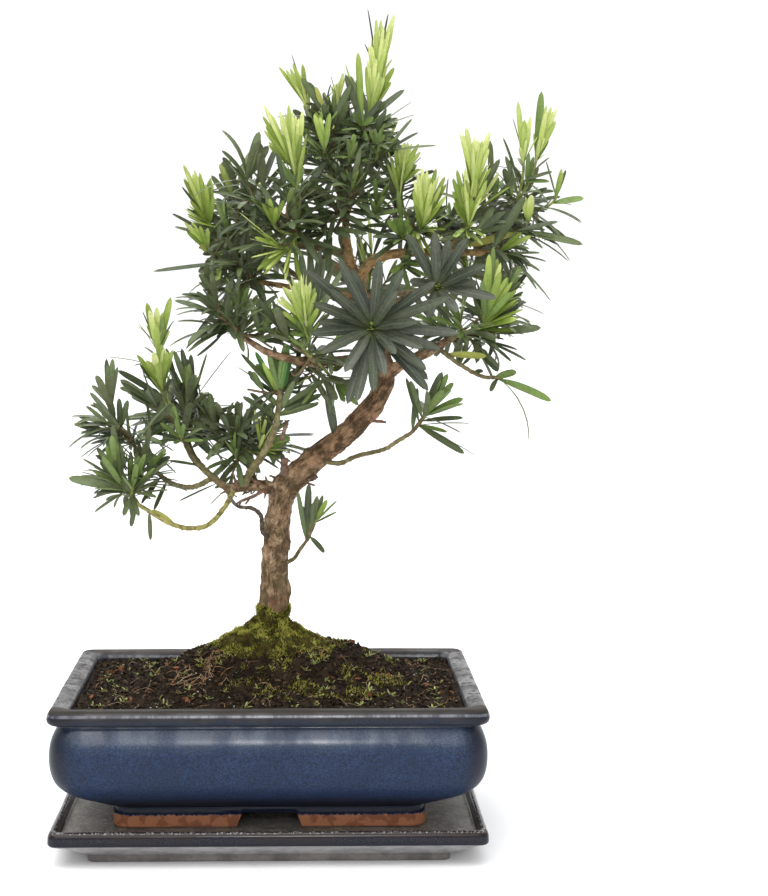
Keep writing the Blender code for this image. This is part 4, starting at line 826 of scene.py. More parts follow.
# The crown's outline seen from the front, as x and z in mm on the plane y = 0, and the gaps in it.
CROWN_EDGE = (
    (76, 581), (89, 581), (89, 562), (85, 552), (90, 542), (82, 526), (92, 525), (88, 516),
    (94, 510), (94, 496), (102, 495), (110, 489), (107, 476), (122, 475), (126, 470), (137, 471),
    (140, 503), (147, 499), (158, 500), (159, 479), (169, 485), (179, 484), (175, 524), (179, 524),
    (183, 513), (190, 514), (193, 531), (205, 517), (205, 506), (196, 493), (196, 482), (192, 476),
    (197, 471), (193, 464), (205, 462), (208, 476), (213, 474), (210, 457), (223, 455), (218, 450),
    (195, 445), (194, 435), (224, 425), (208, 421), (188, 423), (189, 410), (185, 401), (182, 384),
    (188, 378), (178, 371), (195, 363), (181, 356), (163, 353), (170, 335), (203, 314), (201, 309),
    (166, 320), (154, 314), (152, 269), (123, 269), (97, 282), (94, 288), (74, 297), (54, 271),
    (35, 266), (51, 239), (40, 198), (20, 201), (-6, 224), (-25, 229), (-32, 239), (-47, 217),
    (-87, 217), (-123, 235), (-147, 255), (-145, 294), (-130, 310), (-130, 327), (-118, 342),
    (-89, 344), (-95, 367), (-88, 381), (-80, 373), (-70, 386), (-50, 390), (-52, 404), (-45, 411),
    (-59, 430), (-62, 444), (-58, 454), (-62, 478), (-38, 471), (-33, 489), (-21, 478), (-13, 497),
    (1, 502), (-5, 521), (24, 517), (25, 520), (7, 543), (16, 552), (25, 548), (31, 538),
    (43, 526), (44, 536), (52, 542), (60, 545), (61, 556), (70, 553), (72, 569),
)
CROWN_GAPS = (
    ((-56, 346), (-39, 356), (-23, 354), (-15, 331), (-5, 318), (-9, 310), (-26, 313), (-33, 305), (-43, 318), (-47, 328), (-56, 337)),
    ((-70, 373), (-50, 373), (-51, 361), (-61, 351), (-72, 354)),
    ((-15, 376), (-9, 374), (-6, 362), (-13, 364)),
    ((-110, 323), (-88, 305), (-96, 301), (-110, 314)),
    ((-126, 296), (-114, 298), (-116, 292), (-124, 293)),
    ((-74, 279), (-64, 280), (-58, 275), (-43, 277), (-45, 273), (-59, 271), (-64, 269)),
    ((-68, 256), (-58, 264), (-48, 255), (-66, 253)),
    ((-78, 244), (-35, 245), (-35, 231), (-47, 222), (-72, 228), (-87, 235)),
    ((-8, 253), (-5, 260), (7, 260), (6, 252)),
    ((11, 285), (15, 297), (38, 307), (42, 289), (34, 281), (22, 277)),
    ((48, 309), (61, 307), (51, 294), (48, 293)),
    ((55, 272), (82, 295), (90, 322), (94, 328), (100, 321), (103, 293), (94, 285), (58, 270)),
    ((69, 421), (73, 426), (79, 423), (78, 418), (70, 418)),
    ((45, 438), (50, 438), (49, 429), (45, 429)),
    ((95, 461), (101, 461), (100, 450), (95, 452)),
    ((82, 401), (86, 401), (86, 393), (82, 393)),
    ((108, 333), (117, 340), (134, 337), (154, 334), (160, 330), (144, 330), (125, 331), (114, 326)),
    ((17, 239), (22, 239), (22, 211), (17, 209)),
    ((69, 427), (80, 427), (80, 417), (70, 418)),
    ((45, 441), (50, 440), (49, 435), (45, 436)),
    ((69, 406), (85, 407), (85, 391), (72, 391)),
    ((140, 324), (157, 324), (157, 304), (141, 305)),
)
# A leaf that would stand out past the outline is grown shorter, or not at all.
SHORTER = (1.0, 0.8, 0.64)
# Old leaves this near in front of a placed young one are left off.
CLEAR_VIEW = 2.7
PLACED_TINTS = ("young", "bright", "yellow", "fresh", "vivid")


def deselect():
    for obj in bpy.context.selected_objects:
        obj.select_set(False)


def activate(obj):
    deselect()
    obj.select_set(True)
    bpy.context.view_layer.objects.active = obj


def apply_modifiers(obj):
    activate(obj)
    for modifier in list(obj.modifiers):
        bpy.ops.object.modifier_apply(modifier=modifier.name)


def seat(obj, name, finish, nodes=()):
    """Names a finished piece and gives it its finish and its place in the frame."""
    activate(obj)
    bpy.ops.object.transform_apply(location=True, rotation=True, scale=True)
    obj.name = name
    obj.data.name = name
    obj.data.materials.clear()
    obj.data.materials.append(finish)
    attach(obj, "root")
    if nodes:
        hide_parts(*nodes)
    deselect()
    return obj


def put(tree, kind, inputs=None, **settings):
    """A new node. An input given as another node's output is linked to it."""
    made = tree.nodes.new("ShaderNode" + kind)
    for name, value in settings.items():
        setattr(made, name, value)
    for name, value in (inputs or {}).items():
        if isinstance(value, bpy.types.NodeSocket):
            tree.links.new(value, made.inputs[name])
        else:
            made.inputs[name].default_value = value
    return made


def mix(tree, share, first, second, blend="MIX"):
    """The colour output of a mix of two colours or colour outputs."""
    made = put(tree, "Mix", data_type="RGBA", blend_type=blend)
    for socket, value in zip((made.inputs[0], made.inputs[6], made.inputs[7]), (share, first, second)):
        if isinstance(value, bpy.types.NodeSocket):
            tree.links.new(value, socket)
        elif isinstance(value, tuple):
            socket.default_value = (*value, 1)
        else:
            socket.default_value = value
    return made.outputs[2]


def math_node(tree, operation, *values):
    made = put(tree, "Math", operation=operation)
    for socket, value in zip(made.inputs, values):
        if isinstance(value, bpy.types.NodeSocket):
            tree.links.new(value, socket)
        else:
            socket.default_value = value
    return made.outputs[0]


def remap(tree, value, low, high, to_low=0.0, to_high=1.0):
    """The value from low to high brought to another range, smoothly and clamped."""
    made = put(tree, "MapRange", {"Value": value}, interpolation_type="SMOOTHSTEP")
    for name, number in (("From Min", low), ("From Max", high), ("To Min", to_low), ("To Max", to_high)):
        made.inputs[name].default_value = number
    return made.outputs[0]


def texture(tree, vector, scale, detail=3.0, roughness=0.55, stretch=None):
    """A noise value in this space, drawn out along an axis where stretch says so."""
    if stretch:
        vector = put(tree, "Mapping", {"Vector": vector, "Scale": stretch}).outputs[0]
    made = put(tree, "TexNoise", {"Vector": vector, "Scale": scale, "Detail": detail, "Roughness": roughness})
    return made.outputs["Fac"]


def new_group(name, inputs, outputs):
    """An empty shader node group with these named sockets, and its two end nodes."""
    group = bpy.data.node_groups.new(name, "ShaderNodeTree")
    for label, kind, value in inputs:
        socket = group.interface.new_socket(label, in_out="INPUT", socket_type="NodeSocket" + kind)
        if value is not None:
            socket.default_value = value
    for label, kind in outputs:
        group.interface.new_socket(label, in_out="OUTPUT", socket_type="NodeSocket" + kind)
    return group, group.nodes.new("NodeGroupInput"), group.nodes.new("NodeGroupOutput")


def use_group(tree, group, inputs):
    made = put(tree, "Group", node_tree=group)
    for name, value in inputs.items():
        if isinstance(value, bpy.types.NodeSocket):
            tree.links.new(value, made.inputs[name])
        else:
            made.inputs[name].default_value = value
    return made.outputs


def grain_group():
    """Coarse patches, fine grain and a height, for bark, soil, moss and clay."""
    group, source, result = new_group(
        "grain",
        [("Vector", "Vector", None), ("Patch Scale", "Float", 60.0), ("Grain Scale", "Float", 600.0),
         ("Contrast", "Float", 0.5)],
        [("Patches", "Float"), ("Grain", "Float"), ("Height", "Float")],
    )
    vector = source.outputs["Vector"]
    coarse = put(group, "TexNoise", {"Vector": vector, "Scale": source.outputs["Patch Scale"], "Detail": 5.0})
    fine = put(group, "TexNoise", {"Vector": vector, "Scale": source.outputs["Grain Scale"], "Detail": 4.0})
    spread = math_node(group, "MULTIPLY", source.outputs["Contrast"], 0.3)
    for label, made in (("Patches", coarse), ("Grain", fine)):
        ranged = put(group, "MapRange", {"Value": made.outputs["Fac"]}, interpolation_type="SMOOTHSTEP")
        group.links.new(math_node(group, "SUBTRACT", 0.65, spread), ranged.inputs["From Min"])
        group.links.new(math_node(group, "ADD", 0.35, spread), ranged.inputs["From Max"])
        group.links.new(ranged.outputs[0], result.inputs[label])
    height = math_node(group, "ADD", coarse.outputs["Fac"], math_node(group, "MULTIPLY", fine.outputs["Fac"], 0.6))
    group.links.new(height, result.inputs["Height"])
    return group


def glaze_group():
    """The fired surface that pot and tray share: speckle, slow pooling of colour, and a soft wave."""
    group, source, result = new_group(
        "glaze",
        [("Vector", "Vector", None), ("Speckle Scale", "Float", 900.0), ("Speckle", "Float", 0.5)],
        [("Speckle", "Float"), ("Pool", "Float"), ("Wave", "Float")],
    )
    vector = source.outputs["Vector"]
    speck = put(group, "TexNoise", {
        "Vector": vector, "Scale": source.outputs["Speckle Scale"], "Detail": 2.5, "Roughness": 0.75,
    })
    amount = math_node(group, "MULTIPLY", source.outputs["Speckle"], 0.12)
    ranged = put(group, "MapRange", {"Value": speck.outputs["Fac"]}, interpolation_type="SMOOTHSTEP")
    group.links.new(math_node(group, "SUBTRACT", 0.5, amount), ranged.inputs["From Min"])
    group.links.new(math_node(group, "ADD", 0.52, amount), ranged.inputs["From Max"])
    group.links.new(ranged.outputs[0], result.inputs["Speckle"])
    group.links.new(texture(group, vector, 34.0, 4.0), result.inputs["Pool"])
    group.links.new(texture(group, vector, 22.0, 1.0), result.inputs["Wave"])
    return group


def leaf_group():
    """Where a point lies on its leaf: how far along, on the midrib or edge, and on the underside."""
    group, source, result = new_group(
        "leaf_place", [("UV", "Vector", None)],
        [("Along", "Float"), ("Midrib", "Float"), ("Edge", "Float"), ("Underside", "Float")],
    )
    parts = put(group, "SeparateXYZ", {"Vector": source.outputs["UV"]})
    across = parts.outputs[0]
    under = math_node(group, "GREATER_THAN", across, 0.5)
    centred = math_node(group, "SUBTRACT", math_node(group, "MODULO", across, 0.5), 0.25)
    aside = math_node(group, "ABSOLUTE", centred)
    group.links.new(parts.outputs[1], result.inputs["Along"])
    group.links.new(remap(group, aside, 0.014, 0.04, 1.0, 0.0), result.inputs["Midrib"])
    group.links.new(remap(group, aside, 0.16, 0.24), result.inputs["Edge"])
    group.links.new(under, result.inputs["Underside"])
    return group


def new_material(name, roughness=0.5, **sockets):
    """A new material, its tree and its shader, with the shader's plain values set."""
    made = bpy.data.materials.new(name)
    made.use_nodes = True
    tree = made.node_tree
    shader = tree.nodes["Principled BSDF"]
    shader.inputs["Roughness"].default_value = roughness
    for label, value in sockets.items():
        shader.inputs[label.replace("_", " ")].default_value = value
    return made, tree, shader


def object_place(tree):
    return put(tree, "TexCoord").outputs["Object"]


def bump(tree, shader, height, strength, distance):
    made = put(tree, "Bump", {"Height": height, "Strength": strength, "Distance": distance})
    tree.links.new(made.outputs[0], shader.inputs["Normal"])


def pot_glaze(group):
    """Speckled blue on the bowl, greyer where the glaze runs thin, near black on the glossy rim."""
    made, tree, shader = new_material("pot_glaze", 0.4, Specular_IOR_Level=0.28, Coat_Roughness=0.19)
    place = object_place(tree)
    parts = put(tree, "SeparateXYZ", {"Vector": place})
    height = parts.outputs[2]
    fired = use_group(tree, group, {"Vector": place, "Speckle Scale": 950.0, "Speckle": 0.7})
    blue = mix(tree, fired["Speckle"], (0.005, 0.0115, 0.031), (0.0175, 0.041, 0.108))
    runs = texture(tree, place, 230.0, 3.0, 0.6, (1, 1, 0.1))
    broad_runs = texture(tree, place, 70.0, 2.0, 0.5, (1, 1, 0.2))
    sag = math_node(tree, "ADD", math_node(tree, "MULTIPLY", runs, 0.009), math_node(tree, "MULTIPLY", broad_runs, 0.008))
    level = math_node(tree, "ADD", height, math_node(tree, "SUBTRACT", sag, 0.0085))
    thin = math_node(tree, "MULTIPLY", remap(tree, level, 0.078, 0.087), remap(tree, runs, 0.3, 0.7, 0.5, 1.0))
    shoulder = mix(tree, fired["Speckle"], (0.017, 0.03, 0.063), (0.043, 0.069, 0.113))
    colour = mix(tree, thin, blue, shoulder)
    # Painted shade: the glaze darkens to near black towards the bottom, under the bulge, where the dark tray is
    # reflected.
    foot = remap(tree, height, 0.036, 0.054, 0.85, 0.0)
    colour = mix(tree, foot, colour, (0.004, 0.008, 0.022))
    # Painted shadow: a dark band in the recessed neck under the rim's roll.
    neck_shadow = remap(tree, height, 0.0945, 0.0965)
    colour = mix(tree, neck_shadow, colour, mix(tree, fired["Speckle"], (0.004, 0.007, 0.014), (0.012, 0.02, 0.04)))
    brown = mix(tree, remap(tree, fired["Pool"], 0.4, 0.62), (0.006, 0.006, 0.008), (0.024, 0.016, 0.013))
    colour = mix(tree, remap(tree, level, 0.1005, 0.1035), colour, brown)
    # Painted shade: the rounded corners are darkened to near black to stand for the dark reflection at the pot's
    # sides, partly also glaze breaking dark over the edge.
    corner = math_node(
        tree, "MULTIPLY",
        remap(tree, math_node(tree, "ABSOLUTE", parts.outputs[0]), 0.126, 0.144),
        remap(tree, math_node(tree, "ABSOLUTE", parts.outputs[1]), 0.084, 0.098),
    )
    colour = mix(tree, math_node(tree, "MULTIPLY", corner, 0.85), colour, (0.006, 0.007, 0.012))
    colour = mix(tree, remap(tree, fired["Pool"], 0.35, 0.7, 0.0, 0.35), colour, (0.008, 0.014, 0.036))
    stain = texture(tree, place, 190.0, 4.0, 0.7)
    behind = remap(tree, parts.outputs[1], 0.086, 0.094)
    before = math_node(tree, "MULTIPLY", remap(tree, parts.outputs[1], -0.084, -0.094), 0.85)
    dirt = math_node(tree, "MAXIMUM", remap(tree, stain, 0.48, 0.64, 0.2, 0.9), math_node(tree, "MULTIPLY", behind, 0.75))
    dirt = math_node(tree, "MAXIMUM", dirt, before)
    dirt = math_node(tree, "MULTIPLY", dirt, remap(tree, height, 0.1055, 0.1075))
    colour = mix(tree, dirt, colour, (0.03, 0.023, 0.017))
    # A pale line along the rim's upper edge: a painted highlight, and also the glaze wearing thin there.
    highlight_and_wear = math_node(tree, "MULTIPLY", remap(tree, height, 0.1035, 0.1045), remap(tree, height, 0.1062, 0.1054))
    highlight_and_wear = math_node(tree, "MULTIPLY", highlight_and_wear, remap(tree, runs, 0.4, 0.6, 0.15, 0.6))
    colour = mix(tree, highlight_and_wear, colour, (0.2, 0.21, 0.24))
    tree.links.new(colour, shader.inputs["Base Color"])
    rough = math_node(tree, "ADD", remap(tree, fired["Pool"], 0.3, 0.7, 0.36, 0.46), remap(tree, height, 0.06, 0.045, 0.0, 0.25))
    rough = math_node(tree, "ADD", rough, math_node(tree, "MULTIPLY", dirt, 0.4))
    tree.links.new(rough, shader.inputs["Roughness"])
    gloss = math_node(tree, "MULTIPLY", remap(tree, height, 0.076, 0.09), math_node(tree, "SUBTRACT", 1.0, corner))
    gloss = math_node(tree, "MULTIPLY", gloss, remap(tree, broad_runs, 0.35, 0.65, 0.25, 1.0))
    front = math_node(tree, "MULTIPLY", remap(tree, height, 0.0965, 0.098), remap(tree, height, 0.1045, 0.1025))
    gloss = math_node(tree, "MULTIPLY", gloss, math_node(tree, "SUBTRACT", 1.0, math_node(tree, "MULTIPLY", front, 0.85)))
    gloss = math_node(tree, "MULTIPLY", gloss, math_node(tree, "SUBTRACT", 1.0, dirt))
    tree.links.new(gloss, shader.inputs["Coat Weight"])
    bump(tree, shader, fired["Wave"], 0.45, 0.001)
    return made


def tray_glaze(group):
    """The same dark glaze, with dried dirt on the tray's floor; the sloping underside and foot are pale grey, partly
    bare clay and partly painted light from the floor.
    """
    made, tree, shader = new_material("tray_glaze", 0.15, Specular_IOR_Level=0.26)
    place = object_place(tree)
    height = put(tree, "SeparateXYZ", {"Vector": place}).outputs[2]
    fired = use_group(tree, group, {"Vector": place, "Speckle Scale": 800.0, "Speckle": 0.6})
    colour = mix(tree, fired["Speckle"], (0.006, 0.006, 0.01), (0.024, 0.025, 0.036))
    colour = mix(tree, remap(tree, fired["Pool"], 0.45, 0.65), colour, (0.016, 0.014, 0.018))
    ragged = math_node(tree, "ADD", height, math_node(tree, "MULTIPLY", fired["Pool"], 0.004))
    colour = mix(tree, remap(tree, ragged, 0.0225, 0.0245, 0.0, 0.85), colour, (0.026, 0.018, 0.015))
    colour = mix(tree, remap(tree, ragged, 0.0205, 0.0185, 0.0, 0.7), colour, (0.009, 0.01, 0.018))
    facing_up = put(tree, "SeparateXYZ", {"Vector": put(tree, "NewGeometry").outputs["Normal"]}).outputs[2]
    inside = math_node(tree, "MULTIPLY", remap(tree, facing_up, 0.5, 0.95), remap(tree, height, 0.0245, 0.023))
    stain = texture(tree, place, 60.0, 5.0, 0.65)
    grit = texture(tree, place, 420.0, 4.0, 0.75)
    dirt = mix(tree, remap(tree, stain, 0.35, 0.65), (0.1, 0.092, 0.08), (0.2, 0.18, 0.15))
    dirt = mix(tree, remap(tree, grit, 0.5, 0.62, 0.0, 0.8), dirt, (0.34, 0.31, 0.26))
    colour = mix(tree, math_node(tree, "MULTIPLY", inside, 0.9), colour, dirt)
    # Painted light: the sloping underside is pale grey, partly bare clay and partly the floor's reflection painted
    # in.
    floor_lit_slope = remap(tree, height, 0.0158, 0.0148)
    colour = mix(tree, floor_lit_slope, colour, mix(tree, remap(tree, stain, 0.35, 0.65), (0.25, 0.245, 0.25), (0.37, 0.36, 0.365)))
    # Painted light: the foot is paler, partly for the light bounced up from the floor.
    foot = remap(tree, height, 0.0062, 0.0052)
    colour = mix(tree, foot, colour, mix(tree, remap(tree, stain, 0.35, 0.65), (0.13, 0.12, 0.115), (0.23, 0.215, 0.205)))
    # Painted highlights: pale specks along the tray's lip stand for glints of light on its rounded edge.
    lip = math_node(tree, "MULTIPLY", remap(tree, height, 0.0236, 0.0241), remap(tree, height, 0.0251, 0.0248))
    lip_glints = remap(tree, texture(tree, place, 620.0, 2.0, 0.6), 0.55, 0.6, 0.0, 0.55)
    colour = mix(tree, math_node(tree, "MULTIPLY", lip, lip_glints), colour, (0.42, 0.42, 0.44))
    tree.links.new(colour, shader.inputs["Base Color"])
    dull = math_node(tree, "MAXIMUM", math_node(tree, "MULTIPLY", inside, 0.42), remap(tree, stain, 0.3, 0.7, 0.1, 0.24))
    tree.links.new(dull, shader.inputs["Roughness"])
    bump(tree, shader, fired["Wave"], 0.3, 0.001)
    return made


def grained(name, grain, dark, light, tint, roughness, scales, strength, distance):
    """A rough earthy finish from the shared grain: two colours in patches and a third in specks."""
    made, tree, shader = new_material(name, roughness, Specular_IOR_Level=0.12)
    place = object_place(tree)
    found = use_group(tree, grain, {
        "Vector": place, "Patch Scale": scales[0], "Grain Scale": scales[1], "Contrast": 0.7,
    })
    colour = mix(tree, found["Patches"], dark, light)
    colour = mix(tree, math_node(tree, "MULTIPLY", found["Grain"], 0.45), colour, tint)
    tree.links.new(colour, shader.inputs["Base Color"])
    bump(tree, shader, found["Height"], strength, distance)
    return made


def clay_finish(grain):
    """Bare fired clay, with drips of glaze that ran down from the pot onto its top edge."""
    made, tree, shader = new_material("bare_clay", 0.75, Specular_IOR_Level=0.25)
    place = object_place(tree)
    found = use_group(tree, grain, {
        "Vector": place, "Patch Scale": 90.0, "Grain Scale": 900.0, "Contrast": 0.4,
    })
    clay = mix(tree, found["Patches"], (0.31, 0.112, 0.056), (0.5, 0.2, 0.1))
    clay = mix(tree, math_node(tree, "MULTIPLY", found["Grain"], 0.25), clay, (0.3, 0.16, 0.1))
    parts = put(tree, "SeparateXYZ", {"Vector": place})
    scallop = texture(tree, place, 420.0, 2.0, 0.6, (1, 1, 0.05))
    edge = math_node(tree, "ADD", parts.outputs[2], math_node(tree, "MULTIPLY", scallop, 0.0034))
    drips = remap(tree, edge, 0.0279, 0.0282)
    glazed = mix(tree, remap(tree, edge, 0.0282, 0.029), (0.09, 0.1, 0.15), (0.008, 0.012, 0.03))
    # Painted shade: the clay darkens towards the bottom, where the feet stand on the tray.
    clay = mix(tree, remap(tree, parts.outputs[2], 0.0195, 0.0178, 0.0, 0.6), clay, (0.07, 0.045, 0.03))
    tree.links.new(mix(tree, drips, clay, glazed), shader.inputs["Base Color"])
    tree.links.new(remap(tree, drips, 0.0, 1.0, 0.75, 0.15), shader.inputs["Roughness"])
    bump(tree, shader, found["Height"], 0.4, 0.0004)
    return made


def bark_finish(grain):
    """Scaly bark: each flake its own brown, with dark edges, streaks along the limb, and red patches."""
    made, tree, shader = new_material("bark", 0.85, Specular_IOR_Level=0.2)
    place = object_place(tree)
    limb = put(tree, "Attribute", attribute_name="limb_place").outputs["Vector"]
    marks = put(tree, "Attribute", attribute_name="flakes").outputs["Vector"]
    flake, edge, small = put(tree, "SeparateXYZ", {"Vector": marks}).outputs
    found = use_group(tree, grain, {
        "Vector": place, "Patch Scale": 85.0, "Grain Scale": 1300.0, "Contrast": 0.2,
    })
    shade = math_node(tree, "ADD", math_node(tree, "MULTIPLY", flake, 0.2), math_node(tree, "MULTIPLY", small, 0.14))
    shade = math_node(tree, "ADD", shade, math_node(tree, "MULTIPLY", found["Patches"], 0.3))
    grainy = texture(tree, limb, 430.0, 4.0, 0.7, (1, 1, 0.4))
    shade = math_node(tree, "ADD", shade, remap(tree, grainy, 0.3, 0.7, 0.0, 0.4))
    colour = mix(tree, remap(tree, shade, 0.22, 0.6), (0.088, 0.055, 0.029), (0.3, 0.198, 0.113))
    colour = mix(tree, remap(tree, shade, 0.5, 0.88), colour, (0.54, 0.385, 0.245))
    height = put(tree, "SeparateXYZ", {"Vector": place}).outputs[2]
    patch = texture(tree, place, 75.0, 4.0)
    low_red = remap(tree, height, 0.176, 0.158, 0.0, 0.5)
    redness = math_node(tree, "ADD", remap(tree, patch, 0.56, 0.7, 0.0, 0.35), low_red)
    colour = mix(tree, math_node(tree, "MINIMUM", redness, 0.7), colour, (0.2, 0.09, 0.045))
    slanted = mix(tree, remap(tree, shade, 0.25, 0.75), (0.062, 0.034, 0.019), (0.37, 0.21, 0.115))
    leaning = math_node(
        tree, "MULTIPLY", remap(tree, height, 0.25, 0.272, 0.0, 0.8), remap(tree, height, 0.36, 0.33)
    )
    colour = mix(tree, leaning, colour, slanted)
    orange = mix(tree, remap(tree, shade, 0.2, 0.7), (0.3, 0.155, 0.056), (0.54, 0.35, 0.14))
    colour = mix(tree, remap(tree, height, 0.35, 0.405, 0.0, 0.75), colour, orange)
    lichen = remap(tree, texture(tree, place, 95.0, 4.0, 0.6), 0.5, 0.64, 0.0, 0.6)
    lichen = math_node(tree, "MULTIPLY", lichen, math_node(tree, "SUBTRACT", 1.0, math_node(tree, "MULTIPLY", leaning, 0.6)))
    colour = mix(tree, lichen, colour, (0.085, 0.07, 0.028))
    fissure = texture(tree, limb, 320.0, 5.0, 0.74, (1, 1, 0.45))
    colour = mix(tree, remap(tree, fissure, 0.45, 0.37, 0.0, 0.75), colour, (0.042, 0.026, 0.015))
    colour = mix(tree, math_node(tree, "MULTIPLY", edge, 0.28), colour, (0.07, 0.045, 0.026))
    colour = mix(tree, math_node(tree, "MULTIPLY", found["Grain"], 0.3), colour, (0.09, 0.06, 0.035))
    tree.links.new(colour, shader.inputs["Base Color"])
    bump(tree, shader, found["Height"], 0.5, 0.0004)
    return made


def twig_finish(name, grain, dark, light, red, redness):
    """A twig's thinner bark, streaked and a little patchy."""
    made, tree, shader = new_material(name, 0.8, Specular_IOR_Level=0.2)
    place = object_place(tree)
    found = use_group(tree, grain, {
        "Vector": place, "Patch Scale": 240.0, "Grain Scale": 1300.0, "Contrast": 0.1,
    })
    colour = mix(tree, found["Patches"], dark, light)
    streak = remap(tree, texture(tree, place, 420.0, 4.0, 0.6), 0.5, 0.66, 0.0, 0.45)
    colour = mix(tree, streak, colour, tuple(value * 0.6 for value in dark))
    patch = texture(tree, place, 75.0, 4.0)
    colour = mix(tree, remap(tree, patch, 0.45, 0.66, redness * 0.3, redness), colour, red)
    colour = mix(tree, math_node(tree, "MULTIPLY", found["Grain"], 0.3), colour, dark)
    tree.links.new(colour, shader.inputs["Base Color"])
    bump(tree, shader, found["Height"], 0.5, 0.0004)
    return made


def leaf_finish(name, group, foot, blade, tip, other, under, roughness, streaks=0.25):
    """A leathery leaf: its colour from foot to tip, a paler midrib and a dull pale underside.

    The shade of each leaf takes it from the blade's colour towards the other one.
    """
    made, tree, shader = new_material(name, roughness, Specular_IOR_Level=0.3)
    uv = put(tree, "UVMap", uv_map="leaf").outputs["UV"]
    found = use_group(tree, group, {"UV": uv})
    colour = mix(tree, remap(tree, found["Along"], 0.5, 1.0), blade, tip)
    shade = put(tree, "Attribute", attribute_name="shade").outputs["Fac"]
    colour = mix(tree, shade, colour, other)
    colour = mix(tree, remap(tree, found["Along"], 0.0, 0.45), foot, colour)
    darker = tuple(value * 0.55 for value in blade)
    # A darker margin along each leaf's edges: partly the leaf's own colour and partly painted shade in the gaps
    # between neighbouring leaves.
    colour = mix(tree, math_node(tree, "MULTIPLY", found["Edge"], 0.5), colour, darker)
    rib = math_node(tree, "MULTIPLY", found["Midrib"], 0.35)
    colour = mix(tree, rib, colour, under)
    colour = mix(tree, math_node(tree, "MULTIPLY", found["Underside"], 0.7), colour, under)
    parts = put(tree, "SeparateXYZ", {"Vector": uv}).outputs
    own = math_node(tree, "MULTIPLY", shade, 40.0)
    lines = put(tree, "CombineXYZ", {"X": parts[0], "Y": parts[1], "Z": own}).outputs[0]
    streak = remap(tree, texture(tree, lines, 11.0, 2.0, 0.5, (2.2, 0.3, 1)), 0.52, 0.7, 0.0, streaks)
    colour = mix(tree, streak, colour, under)
    mottle = texture(tree, object_place(tree), 320.0, 4.0)
    colour = mix(tree, remap(tree, mottle, 0.45, 0.7, 0.0, 0.3), colour, darker)
    tree.links.new(colour, shader.inputs["Base Color"])
    dull = math_node(tree, "ADD", remap(tree, mottle, 0.3, 0.7, roughness - 0.06, roughness + 0.08),
                     math_node(tree, "MULTIPLY", found["Underside"], 0.2))
    tree.links.new(dull, shader.inputs["Roughness"])
    return made


def plan_ring(half_length, half_width, corner, height):
    """A rectangle with round corners and stepped sides, as points in mm."""
    ring = []
    turns = ((1, 1), (-1, 1), (-1, -1), (1, -1))
    for quarter, (sx, sy) in enumerate(turns):
        arc = []
        for step in range(CORNER_STEPS + 1):
            angle = math.radians(90 * (quarter + step / CORNER_STEPS))
            arc.append(Vector((
                sx * (half_length - corner) + corner * math.cos(angle),
                sy * (half_width - corner) + corner * math.sin(angle), height,
            )))
        tx, ty = turns[(quarter + 1) % 4]
        angle = math.radians(90 * (quarter + 1))
        following = Vector((
            tx * (half_length - corner) + corner * math.cos(angle),
            ty * (half_width - corner) + corner * math.sin(angle), height,
        ))
        ring += arc
        ring += [arc[-1].lerp(following, step / SIDE_STEPS) for step in range(1, SIDE_STEPS)]
    return ring


def oval_ring(half_length, half_width, height, count=96, centre=(0, 0)):
    angles = [2 * math.pi * step / count for step in range(count)]
    return [
        Vector((centre[0] + half_length * math.cos(a), centre[1] + half_width * math.sin(a), height))
        for a in angles
    ]


def smooth_rings(profile, step):
    """Profile steps with more between them, along a smooth curve through them."""
    given = [Vector(place) for place in profile]
    given = [2 * given[0] - given[1]] + given + [2 * given[-1] - given[-2]]
    found = []
    for a, b, c, d in zip(given, given[1:], given[2:], given[3:]):
        pieces = max(1, math.ceil((c - b).length / step))
        for piece in range(pieces):
            t = piece / pieces
            second = (2 * a - 5 * b + 4 * c - d) * t * t
            found.append(0.5 * (2 * b + (c - a) * t + second + (3 * b - a - 3 * c + d) * t**3))
    return found + [given[-2]]


def plan_angle(point):
    return round(math.atan2(point[1], point[0]), 6) % round(2 * math.pi, 6)


def shape_ring(mesh, ring):
    """Moves the selected corners to the ring's points, matched by their turn round the middle."""
    edit = bmesh.from_edit_mesh(mesh)
    chosen = sorted((vert for vert in edit.verts if vert.select), key=lambda vert: plan_angle(vert.co))
    for vert, place in zip(chosen, sorted(ring, key=plan_angle)):
        vert.co = place * MM
    bmesh.update_edit_mesh(mesh)


def raise_rings(rings):
    """A closed shape through the rings: a flat disc is drawn up from each ring to the next."""
    deselect()
    bpy.ops.mesh.primitive_circle_add(vertices=len(rings[0]), radius=1, fill_type="NGON")
    obj = bpy.context.object
    bpy.ops.object.mode_set(mode="EDIT")
    bpy.ops.mesh.select_mode(type="FACE")
    bpy.ops.mesh.select_all(action="SELECT")
    shape_ring(obj.data, rings[0])
    for ring in rings[1:]:
        bpy.ops.mesh.extrude_region_move()
        shape_ring(obj.data, ring)
    bpy.ops.mesh.select_all(action="SELECT")
    bpy.ops.mesh.normals_make_consistent(inside=False)
    bpy.ops.object.mode_set(mode="OBJECT")
    return obj


def profile_rings(profile, foot_top=0.0):
    """The plan's rings for each profile step, a tray's foot being deeper from front to back."""
    rings = []
    for inset, height, corner in smooth_rings(profile, PROFILE_STEP):
        across = inset * TRAY_FOOT_DEPTH if height < foot_top else inset
        rings.append(plan_ring(POT_LENGTH / 2 - inset, POT_WIDTH / 2 - across, corner, height))
    return rings


def ripple(obj, amount, scale, seed=0.0, above=0.0):
    """Moves each corner above this height a little along its normal by a smooth noise."""
    normals = [vert.normal.copy() for vert in obj.data.vertices]
    for vert, normal in zip(obj.data.vertices, normals):
        if vert.co.z < above:
            continue
        vert.co += normal * noise.noise(vert.co * scale + Vector((seed, seed, seed))) * amount


